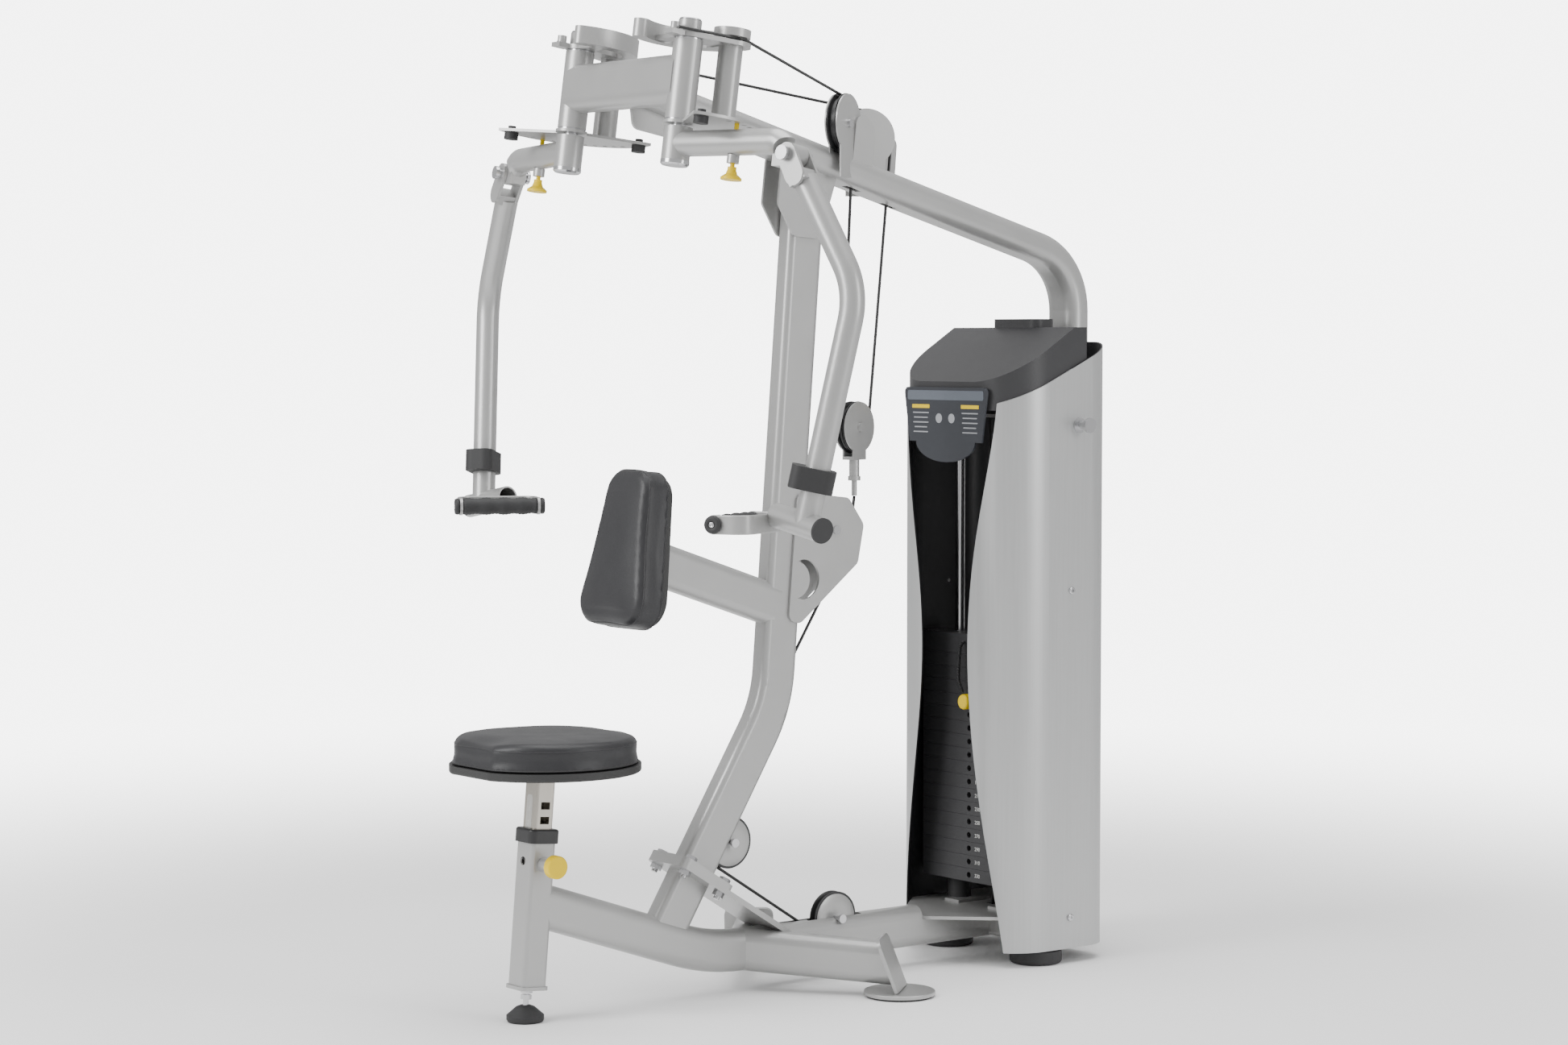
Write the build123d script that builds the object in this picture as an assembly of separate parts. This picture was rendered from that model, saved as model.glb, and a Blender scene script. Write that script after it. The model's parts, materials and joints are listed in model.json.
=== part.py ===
from build123d import *
import os
from math import asin, atan2, cos, degrees, radians, sin, tan

# Pec fly and rear delt machine with a weight stack.
# Millimetres. +X is the machine's right side, -Y its front (the seat), +Z up, and X = 0 is the middle plane.
# Everything is laid out with Y measured from a base line near the seat, then moved so that the origin
# is the bottom centre of the whole machine.

# ---------------------------------------------------------------- frame tubes
WALL = 3.0                       # wall of every frame tube
BEAM_W, BEAM_H = 50.8, 76.2      # base beam and cross feet, width and height
BEAM_R = 22.0                    # corner radius of the beam section
COLUMN_W, COLUMN_D = 42.0, 76.2  # column, width across and depth front to back
COLUMN_R = 12.0
TOP_W, TOP_H = 80.0, 54.0        # top tube, wide and low
TOP_R = 24.0

BEAM_Z = 73.0                    # centre height of the level part of the base beam
BEAM_SLOPE = 19.0                # fall of its front part, degrees
BEAM_LEVEL_Y = 225.0             # where the sloped and level centre lines meet
BEAM_BEND_R = 430.0

COLUMN_SLANT = 32.0              # lean of the column's foot, degrees
COLUMN_LEAN = 4.5                # lean of its upper part
SPLICE_Y, SPLICE_Z = 187.0, 221.0   # centre of the bolted splice under the column
KNEE_Z = 512.0                   # height of the column's bend
COLUMN_BEND_R = 250.0
SPLICE_T = 10.0                  # thickness of each splice plate
SPLICE_W = 112.0
SPLICE_HALF = 62.0
SPLICE_TAIL = 224.0              # how far the lower plate runs down to the base beam
SPLICE_BOLT = 43.0               # bolt places, from the centre each way

TOP_SLOPE = 15.5                 # fall of the top tube towards the tower
TOP_REF_Y, TOP_REF_Z = 832.0, 1389.5
POST_Y = 1092.0                  # centre line of its upright part behind the tower
BEAM_END_Y = POST_Y + TOP_H / 2 + 2   # the base beam ends just behind it
TOP_BEND_R = 125.0

# ---------------------------------------------------------------- feet
FOOT_X, FOOT_Y = 220.0, 487.0    # centre of each cross foot's disc
FOOT_SWEEP = 40.0                # angle of the cross feet from the X axis
FOOT_DISC_R, FOOT_DISC_T = 64.0, 7.0
PAD_T = 3.0                      # rubber under each disc
FOOT_PLATE_W, FOOT_PLATE_H, FOOT_PLATE_T = 92.0, 100.0, 6.0
FOOT_PLATE_LEAN = 21.0
TOWER_FOOT_X, TOWER_FOOT_R = 126.0, 49.0

# ---------------------------------------------------------------- seat
SEAT_LEAN = 4.9                  # the seat tube leans back
SEAT_Y0 = -167.0                 # its axis meets the floor here
SEAT_TUBE, SEAT_TUBE_R = 50.8, 9.0
SEAT_TUBE_LOW, SEAT_TUBE_TOP = 62.0, 308.0
POST_SQ, POST_R = 39.5, 7.0
COLLAR_SQ, COLLAR_H = 60.0, 24.0
POST_GAP = 0.3                   # clearance of the post in its collar
SEAT_BASE = 428.0                # underside of the level seat board
SEAT_SHIFT = 8.3                 # the seat's centre stands this far behind the post's axis
SEAT_R = 165.0
SEAT_FLAT = 154.0                # flat front edge, from the centre
SEAT_BOARD_T, SEAT_PAD_T = 14.0, 44.0
SEAT_PITCH = 25.0                # step between seat heights
PIN_UP = 272.0                   # height of the seat's pull pin along the axis
PIN_CLEAR = 0.6                  # pull pins stand just clear of what they lock
POST_LOW = 168.0                 # lower end of the seat post
STUD_R = 5.0
LEVEL_R, LEVEL_H = 32.5, 28.0

# ---------------------------------------------------------------- pad
PAD_Y, PAD_Z = 54.0, 804.0       # centre of the pad
PAD_LEAN = 11.0
PAD_H, PAD_TOP_W, PAD_LOW_W, PAD_THICK = 282.0, 116.0, 206.0, 52.0
PAD_CORNER = 44.0
PAD_BOARD_T = 12.0
PAD_ARM_SLOPE = 18.5
PAD_ARM_Z = 764.0                # centre of the pad arm at PAD_ARM_Y
PAD_ARM_Y = 147.0
PAD_ARM_H = 76.2

# ---------------------------------------------------------------- head and arms (right side; the left mirrors it)
PIVOT_X, PIVOT_Y, PIVOT_Z = 161.0, 57.0, 1606.0
PIVOT_LEAN = 8.0
PIVOT_R = 25.4                   # pivot tube
PIVOT_HALF = 68.0                # half its length
SHAFT_R = 12.5
RUN = 0.05                       # running fit, radial
HEAD_D, HEAD_H = 54.0, 84.0
HUB_TOP, HUB_LOW = -81.0, -138.0 # swing arm hub, along the pivot axis
ROM_TOP, ROM_T = -71.0, 5.0      # range plate
ROM_R = 148.0
ROM_HOLE_R = 131.0               # circle of the range holes
ROM_START, ROM_END = -27.0, 109.0
HOLE_STEP = 8.5                  # between range holes, degrees
HOLE_R = 4.5
BUMPER_ANGLES = (-20.0, 102.0)
CAM_Z, CAM_T = 71.0, 8.0         # cam plate
DRUM = (14.0, 80.0)              # cam drum, from the pivot axis
DRUM_R, DRUM_H = 32.0, 30.0
CAM_POST_R = 21.1
WEIGHT_R, WEIGHT_W, WEIGHT_H = 88.0, 27.0, 31.0   # curved balance bar
ANCHOR = (8.0, -36.0)            # cable clamp on the cam
ARM_R = 22.0                     # swing arm tube
ARM_ANGLE = 11.5                 # direction of the swing arm from the X axis
ARM_REACH = 264.0                # hub to clevis pin
ARM_DROP = 22.0                  # clevis pin below the middle of the arm tube
LOWER_R = 21.1                   # lower arm tube
HINGE_R = 8.0                    # clevis pin
KNUCKLE_R, KNUCKLE_W = 19.0, 30.0
ELBOW_OUT, ELBOW_BACK, ELBOW_DOWN = 126.0, 30.0, 222.0
WRIST_OUT, WRIST_BACK, WRIST_DOWN = 62.0, -24.0, 604.0
T_IN, T_OUT = 80.0, 42.0         # handle cross tube, each way from the arm
GRIP_FRONT = (383.0, -46.0, 865.0)
GRIP_REAR = (321.0, 81.0, 865.0)
GRIP_R = 16.5
BAND_OFF, BAND_T, BAND_H = 58.0, 5.0, 32.0

# ---------------------------------------------------------------- weight tower
STACK_Y = 893.0                  # centre of the weight plates
PLATE_W, PLATE_D, PLATE_PITCH = 280.0, 102.0, 25.4
PLATE_GAP = 0.4
PLATES, LIFTED = 17, 4
STACK_Z = 141.3                  # underside of the lowest plate
HEAD_PLATE_H = 38.0
ROD_R, PIN_R = 12.0, 5.0         # selector rod and weight pin
PIN_REACH = 68.0                 # how far the weight pin goes in
GUIDE_X, GUIDE_R = 85.0, 9.5
GUIDE_TOP = 1043.0
BASE_TOP = 94.0                  # top of the tower's base plate
SHROUD_X = 176.0                 # half width of the shrouds
SHROUD_FRONT, SHROUD_BACK = 780.0, 1052.0
SHROUD_CORNER, SHROUD_REAR_R = 104.0, 62.0
SHROUD_T = 3.0
SHROUD_LOW, SHROUD_TOP = 28.0, 1042.0
SHROUD_SCREWS = (86.0, 700.0)
SHROUD_SCREW_Y = 940.0
SHROUD_RISE = 24.0               # slope of the shrouds' top edge, degrees
CAP_SLOPE = 36.0                 # slope of the cap's top
CAP_FRONT_Z, CAP_REAR_Z = 1086.0, 1190.0
CAP_REAR_Y = 950.0

# ---------------------------------------------------------------- cables and pulleys
CABLE_R = 3.0
BIG_R, BIG_GROOVE = 54.0, 49.0
MID_R, MID_GROOVE = 57.0, 52.0
SMALL_R, SMALL_GROOVE = 47.5, 43.0
TINY_R, TINY_GROOVE = 38.0, 34.0
PULLEY_W = 16.0
AXLE_R = 6.0
TOP_PULLEY = {1: (31.0, 508.0, 1557.0), -1: (-32.0, 613.0, 1537.0)}
FLOAT = (0.0, 561.0, 1007.0)
FLOAT_TURN = 16.0                # turn of the floating pulley about Z
ADJUSTER = 78.0                  # its threaded adjuster ends this far below its rim
MID = (497.0, 822.0)             # (y, z) of the pulleys in the middle plane
LOW = (268.0, 270.0)
BASE = (511.0, 109.0)
TOWER_LOW = (945.0, 100.0)
TOWER_TOP = (936.0, 1078.0)

parts = {}


def at(y, z, x=0.0):
    return Vector(x, y, z)


def direction(angle):
    """Unit vector in the YZ plane, `angle` degrees from +Z towards +Y."""
    return Vector(0, sin(radians(angle)), cos(radians(angle)))


def rod(p, q, r):
    """Round bar from p to q."""
    p, q = Vector(*p), Vector(*q)
    plane = Plane(origin=p, z_dir=(q - p).normalized())
    return plane * Cylinder(r, (q - p).length, align=(Align.CENTER, Align.CENTER, Align.MIN))


def washer(r_out, r_in, h):
    low = (Align.CENTER, Align.CENTER, Align.MIN)
    return Cylinder(r_out, h, align=low) - Cylinder(r_in, h, align=low)


def swept(points, bend, w, h, corner, wall=WALL):
    """Hollow tube with a rounded section w across X and h in the YZ plane, along a bent line at X = 0."""
    corners = [Vector(0, y, z) for y, z in points]
    path = Polyline(*corners) if bend is None else FilletPolyline(*corners, radius=bend)
    start = Plane(origin=path @ 0, x_dir=(1, 0, 0), z_dir=path % 0)
    outer = start * RectangleRounded(w, h, corner)
    inner = start * RectangleRounded(w - 2 * wall, h - 2 * wall, corner - wall)
    return sweep(outer, path=path), sweep(inner, path=path)


def round_tube(points, bend, r, wall=WALL):
    path = FilletPolyline(*[Vector(*p) for p in points], radius=bend)
    start = Plane(origin=path @ 0, z_dir=path % 0)
    return sweep(start * Circle(r), path=path), sweep(start * Circle(r - wall), path=path)


def mirrored(shape):
    return mirror(shape, about=Plane.YZ)


def both(shape):
    """A right-hand piece and its mirror image, as separate solids."""
    return Compound(children=[*shape.solids(), *mirrored(shape).solids()])


def group(*shapes):
    return Compound(children=[s for shape in shapes for s in shape.solids()])


def biggest(shape):
    """The main solid of a cut piece, without the offcuts."""
    return shape.solids().sort_by(SortBy.VOLUME)[-1]


def box_between(low, high):
    size = [b - a for a, b in zip(low, high)]
    middle = [(a + b) / 2 for a, b in zip(low, high)]
    return Pos(*middle) * Box(*size)


def screw(place, r=5.0, head=9.0, shank=20.0):
    """Button-head screw whose head sits on the plane's face and whose shank goes in."""
    low = (Align.CENTER, Align.CENTER, Align.MIN)
    top = (Align.CENTER, Align.CENTER, Align.MAX)
    cap = Cylinder(head, 0.6 * head, align=low)
    cap = fillet(cap.edges().group_by(Axis.Z)[-1], 0.35 * head)
    cap -= Pos(0, 0, 0.25 * head) * extrude(RegularPolygon(0.45 * head, 6), 0.4 * head)
    return place * (cap + Cylinder(r, shank, align=top))


def facing_x(x, y, z, sign=1):
    """Plane at a point whose normal points along +X or -X."""
    return Plane(origin=(x, y, z), z_dir=(sign, 0, 0))


# ---------------------------------------------------------------- derived lines
def beam_centre_z(y):
    """Centre height of the base beam's sloped front part."""
    return BEAM_Z + (BEAM_LEVEL_Y - y) * tan(radians(BEAM_SLOPE))


def top_centre_z(y):
    return TOP_REF_Z - (y - TOP_REF_Y) * tan(radians(TOP_SLOPE))


def column_y(z):
    """Centre of the column at a height above its bend."""
    knee_y = SPLICE_Y + (KNEE_Z - SPLICE_Z) * tan(radians(COLUMN_SLANT))
    return knee_y + (z - KNEE_Z) * tan(radians(COLUMN_LEAN))


def pad_arm_z(y):
    return PAD_ARM_Z - (y - PAD_ARM_Y) * tan(radians(PAD_ARM_SLOPE))


# Frames of the leaning pieces
seat_axis = direction(SEAT_LEAN)
seat_frame = Plane(origin=at(SEAT_Y0, 0), x_dir=(1, 0, 0), z_dir=seat_axis)
seat_post_y = SEAT_Y0 + SEAT_BASE * tan(radians(SEAT_LEAN))
seat_level = Plane(origin=at(seat_post_y + SEAT_SHIFT, SEAT_BASE), x_dir=(1, 0, 0), z_dir=(0, 0, 1))
pivot_axis = direction(PIVOT_LEAN)
pivot_frame = Plane(origin=(PIVOT_X, PIVOT_Y, PIVOT_Z), x_dir=(1, 0, 0), z_dir=pivot_axis)
pad_frame = Plane(origin=at(PAD_Y, PAD_Z), x_dir=(1, 0, 0), z_dir=-direction(PAD_LEAN + 90))
splice_frame = Plane(origin=at(SPLICE_Y, SPLICE_Z), x_dir=(1, 0, 0), z_dir=direction(COLUMN_SLANT))


def in_pivot(x, y, z):
    return pivot_frame.from_local_coords(Vector(x, y, z))


# ---------------------------------------------------------------- main frame
column_line = [
    (SPLICE_Y + SPLICE_T * sin(radians(COLUMN_SLANT)), SPLICE_Z + SPLICE_T * cos(radians(COLUMN_SLANT))),
    (column_y(KNEE_Z), KNEE_Z),
    (column_y(1500.0), 1500.0),
]
column_outer, column_inner = swept(column_line, COLUMN_BEND_R, COLUMN_W, COLUMN_D, COLUMN_R)

top_line = [
    (PIVOT_Y, top_centre_z(PIVOT_Y)),
    (POST_Y, top_centre_z(POST_Y)),
    (POST_Y, BASE_TOP),
]
top_outer, top_inner = swept(top_line, TOP_BEND_R, TOP_W, TOP_H, TOP_R)

beam_line = [
    (SEAT_Y0, beam_centre_z(SEAT_Y0)),
    (BEAM_LEVEL_Y, BEAM_Z),
    (BEAM_END_Y, BEAM_Z),
]
beam_outer, beam_inner = swept(beam_line, BEAM_BEND_R, BEAM_W, BEAM_H, BEAM_R)

head_plane = Plane(origin=(-PIVOT_X, PIVOT_Y, PIVOT_Z + 2), x_dir=(0, cos(radians(PIVOT_LEAN)),
                   -sin(radians(PIVOT_LEAN))), z_dir=(1, 0, 0))
head_outer = extrude(head_plane * RectangleRounded(HEAD_D, HEAD_H, 22), 2 * PIVOT_X)
head_inner = extrude(head_plane * RectangleRounded(HEAD_D - 2 * WALL, HEAD_H - 2 * WALL, 19), 2 * PIVOT_X)


def pivot_solid(r, half=PIVOT_HALF):
    tube = pivot_frame * Cylinder(r, 2 * half)
    return tube + mirrored(tube)


def arm_cable_frame(side):
    """Plane of a top pulley, turned to face its own cam's cable. Its normal is the pulley's axle."""
    x, y, z = TOP_PULLEY[side]
    drum = in_pivot(DRUM[0] + DRUM_R, DRUM[1] + 12, CAM_Z + DRUM_H / 2)
    run = Vector(x - side * drum.X, y - drum.Y, 0).normalized()
    return Plane(origin=(x, y, z), x_dir=run, z_dir=Vector(run.Y, -run.X, 0))


def drop_point(side):
    """Where a cam's cable goes down through the top tube."""
    frame = arm_cable_frame(side)
    return frame.origin + frame.x_dir * BIG_GROOVE


def build_column():
    outer = column_outer - top_outer
    inner = column_inner - top_outer
    column = outer - inner
    # Slot in the back for the cable, and one at the foot for the lower pulley
    column -= box_between((-9, column_y(600) + 5, 545), (9, column_y(600) + 90, 650))
    column -= box_between((-PULLEY_W / 2 - 4, LOW[0] - 52, LOW[1] - 54), (PULLEY_W / 2 + 4, LOW[0] + 70, LOW[1] + 54))
    axle = Pos(0, LOW[0], LOW[1]) * (Rot(0, 90, 0) * Cylinder(AXLE_R + 0.2, COLUMN_W + 20))
    return column - axle


def build_pad_arm():
    far_y = column_y(PAD_ARM_Z) - 20
    line = [(PAD_Y, pad_arm_z(PAD_Y)), (far_y, pad_arm_z(far_y))]
    outer, inner = swept(line, None, BEAM_W - 6, PAD_ARM_H, 18)
    behind_board = pad_frame * box_between((-200, -300, -PAD_THICK / 2 - PAD_BOARD_T), (200, 300, 300))
    return outer - inner - column_outer - behind_board


def build_top_tube():
    tube = top_outer - top_inner
    for side in (1, -1):
        place = line_at_height(arm_cable_corners(side), top_centre_z(drop_point(side).Y))
        tube -= Pos(place.X, place.Y, place.Z) * Box(16, 34, 90)
        tube -= top_pulley_frame(side) * Cylinder(BIG_R + 2.5, PULLEY_W + 3)
    return tube - head_outer - pivot_solid(PIVOT_R)


def build_base_beam():
    upright = seat_frame * extrude(RectangleRounded(SEAT_TUBE, SEAT_TUBE, SEAT_TUBE_R), 400)
    beam = beam_outer - beam_inner - upright
    beam -= box_between((-40, -400, -20), (40, SEAT_Y0 + 12, 400))
    # Base pulley slot, and a low stretch under the stack that carries the tower's base plate
    slot = PULLEY_W / 2 + 2
    beam -= box_between((-slot, BASE[0] - 66, BEAM_Z), (slot, BASE[0] + 60, 200))
    beam -= box_between((-6, BASE[0] - 128, BEAM_Z), (6, BASE[0], 200))
    beam -= box_between((-60, 706, BASE_TOP - 6), (60, BEAM_END_Y + 5, 200))
    beam -= box_between((-slot, TOWER_LOW[0] - 50, BEAM_Z - 20), (slot, TOWER_LOW[0] + 46, 200))
    for y, z in (BASE, TOWER_LOW):
        beam -= Pos(0, y, z) * (Rot(0, 90, 0) * Cylinder(AXLE_R + 0.2, 90))
    # Stub that rises to the splice
    low = at(SPLICE_Y, SPLICE_Z) - direction(COLUMN_SLANT) * 160
    foot = Plane(origin=low, x_dir=(1, 0, 0), z_dir=direction(COLUMN_SLANT))
    full = extrude(foot * RectangleRounded(COLUMN_W, COLUMN_D, COLUMN_R), 160 - SPLICE_T)
    hollow = extrude(foot * RectangleRounded(COLUMN_W - 2 * WALL, COLUMN_D - 2 * WALL, COLUMN_R - WALL), 200)
    stub = full - hollow - beam_outer
    keep = stub.solids().sort_by(Axis.Z)[-1]
    return group(beam, keep)


def splice_plate(z, tail):
    """Splice plate in the splice frame; the lower one runs on down to the base beam."""
    shape = box_between((-SPLICE_W / 2, -SPLICE_HALF, z), (SPLICE_W / 2, tail, z + SPLICE_T))
    upright = shape.edges().filter_by(Axis.Z)
    shape = fillet(upright, 14)
    for x in (-SPLICE_BOLT, SPLICE_BOLT):
        for y in (-SPLICE_BOLT, SPLICE_BOLT):
            shape -= Pos(x, y, z) * Cylinder(5.5, 3 * SPLICE_T)
    return splice_frame * shape


def build_splice():
    upper = splice_plate(0, SPLICE_HALF)
    lower = splice_plate(-SPLICE_T, SPLICE_TAIL) - beam_outer - both(cross_foot_solid())
    lower = biggest(lower)
    return group(upper - column_outer, lower)


def cross_foot_frame():
    """Frame whose z axis runs out along the right cross foot, from the middle plane to its disc."""
    rise = BEAM_Z - 56.5
    run = FOOT_X / cos(radians(FOOT_SWEEP))
    start = Vector(0, FOOT_Y - FOOT_X * tan(radians(FOOT_SWEEP)), BEAM_Z)
    end = Vector(FOOT_X, FOOT_Y, BEAM_Z - rise)
    out = (end - start).normalized()
    across = Vector(0, 0, 1).cross(out).normalized()
    return Plane(origin=start, x_dir=across, z_dir=out), run


def foot_end_plane():
    """Leaning plane of the cross foot's end plate; its normal points outwards."""
    out = Vector(cos(radians(FOOT_SWEEP)), sin(radians(FOOT_SWEEP)), 0)
    lean = radians(FOOT_PLATE_LEAN)
    normal = out * cos(lean) + Vector(0, 0, 1) * sin(lean)
    across = Vector(0, 0, 1).cross(out).normalized()
    return Plane(origin=(FOOT_X, FOOT_Y, PAD_T + FOOT_DISC_T), x_dir=across, z_dir=normal)


def cross_foot_solid(inside=False):
    frame, run = cross_foot_frame()
    w, h, r = (BEAM_W, BEAM_H, BEAM_R) if not inside else (BEAM_W - 2 * WALL, BEAM_H - 2 * WALL, BEAM_R - WALL)
    bar = extrude(frame * RectangleRounded(w, h, r), run + 60)
    end = foot_end_plane()
    beyond = end * box_between((-200, -200, 0), (200, 300, 300))
    under = box_between((-500, -500, -50), (900, 900, PAD_T + FOOT_DISC_T))
    return bar - beyond - under


def build_cross_feet():
    tube = cross_foot_solid() - cross_foot_solid(True) - beam_outer
    tube = biggest(tube) - box_between((-300, 0, -10), (0, 900, 300))
    plate = box_between((-FOOT_PLATE_W / 2, 0, 0), (FOOT_PLATE_W / 2, FOOT_PLATE_H, FOOT_PLATE_T))
    plate = fillet(plate.edges().filter_by(Axis.Z).group_by(Axis.Y)[-1], 16)
    plate = foot_end_plane() * plate - box_between((0, 0, 0), (600, 900, PAD_T + FOOT_DISC_T))
    disc = Pos(FOOT_X, FOOT_Y, PAD_T) * Cylinder(FOOT_DISC_R, FOOT_DISC_T, align=(Align.CENTER, Align.CENTER, Align.MIN))
    disc = fillet(disc.edges().group_by(Axis.Z)[-1], 2)
    return group(both(tube), both(plate), both(disc))


def build_seat_upright():
    low = (Align.CENTER, Align.CENTER, Align.MIN)
    length = SEAT_TUBE_TOP - SEAT_TUBE_LOW
    outer = extrude(Pos(0, 0, SEAT_TUBE_LOW) * RectangleRounded(SEAT_TUBE, SEAT_TUBE, SEAT_TUBE_R), length)
    bore = SEAT_TUBE - 2 * WALL
    inner = extrude(Pos(0, 0, SEAT_TUBE_LOW) * RectangleRounded(bore, bore, SEAT_TUBE_R - WALL), length)
    tube = outer - inner
    tube -= Pos(0, -SEAT_TUBE / 2, PIN_UP + 4) * (Rot(90, 0, 0) * Cylinder(7.5, 20))
    boss = Pos(SEAT_TUBE / 2 - 1, 0, PIN_UP) * (Rot(0, 90, 0) * Cylinder(12.5, 22, align=low))
    hole = Pos(0, 0, PIN_UP) * (Rot(0, 90, 0) * Cylinder(6.3, 120, align=low))
    foot = Pos(0, 0, SEAT_TUBE_LOW - 6) * extrude(RectangleRounded(58, 58, 12), 6)
    foot -= Pos(0, 0, SEAT_TUBE_LOW) * Cylinder(STUD_R + 0.3, 40)
    return group(seat_frame * (tube + boss - hole), seat_frame * foot)


def build_collar():
    ring = extrude(Pos(0, 0, SEAT_TUBE_TOP) * RectangleRounded(COLLAR_SQ, COLLAR_SQ, 13), COLLAR_H)
    ring = fillet(ring.edges().group_by(Axis.Z)[-1], 4)
    bore = POST_SQ + 2 * POST_GAP
    sleeve_sq = SEAT_TUBE - 2 * WALL
    ring += extrude(Pos(0, 0, SEAT_TUBE_TOP - 30) * RectangleRounded(sleeve_sq, sleeve_sq, SEAT_TUBE_R - WALL), 30)
    ring -= extrude(Pos(0, 0, SEAT_TUBE_TOP - 40) * RectangleRounded(bore, bore, POST_R), 90)
    return seat_frame * ring


def gusset_side(points, x, t=5.0):
    """Flat plate in the YZ plane between x and x + t, from an outline with rounded corners."""
    face = make_face(FilletPolyline(*[Vector(0, y, z) for y, z in points], radius=16, close=True))
    return Pos(x, 0, 0) * extrude(face, t, dir=(1, 0, 0))


def build_gussets():
    inner_x = COLUMN_W / 2
    y, z = MID
    back = [(column_y(890) + 10, 893), (y + 30, 880), (y + 66, z + 8), (y + 52, z - 62),
            (column_y(660) + 34, 655), (column_y(660) + 8, 662)]
    ear = gusset_side(back, inner_x)
    crescent = Pos(inner_x - 1, column_y(735) + 36, 735) * (Rot(0, 90, 0) * Cylinder(36, 10, align=(Align.CENTER, Align.CENTER, Align.MIN)))
    bite = Pos(inner_x - 1, column_y(735) + 16, 735) * (Rot(0, 90, 0) * Cylinder(34, 10, align=(Align.CENTER, Align.CENTER, Align.MIN)))
    ear -= crescent - bite
    ear -= Pos(inner_x, y, z) * (Rot(0, 90, 0) * Cylinder(AXLE_R, 30))
    top = top_centre_z(column_y(1440))
    upper = [(column_y(1440) - 66, top + 6), (column_y(1440) + 60, top - 30), (column_y(1360) + 24, 1348),
             (column_y(1360) - 36, 1352), (column_y(1400) - 74, 1410)]
    fan = gusset_side(upper, inner_x) - top_outer
    fan = biggest(fan)
    return group(both(ear), both(fan))


def build_head_frame():
    cross = head_outer - head_inner - pivot_solid(PIVOT_R)
    cross = biggest(cross)
    tube = pivot_frame * (Cylinder(PIVOT_R, 2 * PIVOT_HALF) - Cylinder(PIVOT_R - WALL, 2 * PIVOT_HALF))
    under = top_centre_z(PIVOT_Y) - 0.5 * TOP_H / cos(radians(TOP_SLOPE))
    web = [(PIVOT_Y, under + 20), (PIVOT_Y + 120, under - 10), (PIVOT_Y + 96, under - 60), (PIVOT_Y + 8, under - 44)]
    rib = biggest(gusset_side(web, -3, 6.0) - head_outer - top_outer)
    return group(cross, both(tube), rib)


# ---------------------------------------------------------------- pulleys
def pulley_body(r, groove, bore=AXLE_R + RUN):
    """Pulley about Z with a rounded groove for the cable."""
    half = PULLEY_W / 2
    floor = groove - CABLE_R
    profile = Polyline((bore, -half), (r, -half), (r, -half + 1.5), (floor, -CABLE_R - 1), (floor, CABLE_R + 1),
                       (r, half - 1.5), (r, half), (bore, half), close=True)
    face = make_face(Plane.XZ * profile)
    return revolve(face, Axis.Z)


def middle_pulley(place, r, groove):
    frame = Plane(origin=(0, *place), x_dir=(0, 1, 0), z_dir=(1, 0, 0))
    return frame * pulley_body(r, groove)


def upright_frame(origin, angle):
    """Frame with its z axis level, `angle` degrees from +X towards +Y, and its y axis up."""
    normal = Vector(cos(radians(angle)), sin(radians(angle)), 0)
    return Plane(origin=origin, x_dir=Vector(0, 0, 1).cross(normal), z_dir=normal)


def axle(frame, half, head=8.0):
    low = (Align.CENTER, Align.CENTER, Align.MIN)
    shank = Cylinder(AXLE_R, 2 * half)
    ends = Pos(0, 0, half) * Cylinder(head, 5, align=low) + Pos(0, 0, -half - 5) * Cylinder(head, 5, align=low)
    return frame * (shank + ends)


def top_pulley_frame(side):
    flat = arm_cable_frame(side)
    return Plane(origin=flat.origin, x_dir=flat.x_dir, z_dir=flat.z_dir)


def build_pulley_mounts():
    """Cheek plates that stand on the top tube round each top pulley, with a fin behind them."""
    pieces = []
    for side in (1, -1):
        x, y, z = TOP_PULLEY[side]
        angle = degrees(atan2(arm_cable_frame(side).z_dir.Y, arm_cable_frame(side).z_dir.X))
        frame = upright_frame((x, y, z), angle)
        deep = z - top_centre_z(y) + 20
        gap = PULLEY_W / 2 + 1.5
        for sign in (1, -1):
            face = Circle(BIG_R - 1) + Pos(0, -deep / 2) * Rectangle(70, deep)
            plate = extrude(frame.offset(sign * gap) * face, sign * 3)
            plate -= frame * Cylinder(AXLE_R, 80)
            plate -= top_outer
            pieces += [plate.solids().sort_by(Axis.Z)[-1]]
        fin_x = side * 30.0
        fin = gusset_side([(y + 34, z + 34), (y + 74, z - 6), (y + 66, top_centre_z(y + 66) + 6),
                           (y + 20, top_centre_z(y + 20) + 6)], fin_x if side > 0 else fin_x - 4, 4.0)
        fin -= top_outer
        fin = fin.solids().sort_by(Axis.Z)[-1]
        for piece in pieces:
            fin -= piece
        fin -= frame * Cylinder(BIG_R + 3, 2 * gap)
        pieces += [biggest(fin)]
    return group(*pieces)


# ---------------------------------------------------------------- cams and arms, right side
def polar(r, angle):
    return r * cos(radians(angle)), r * sin(radians(angle))


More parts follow.
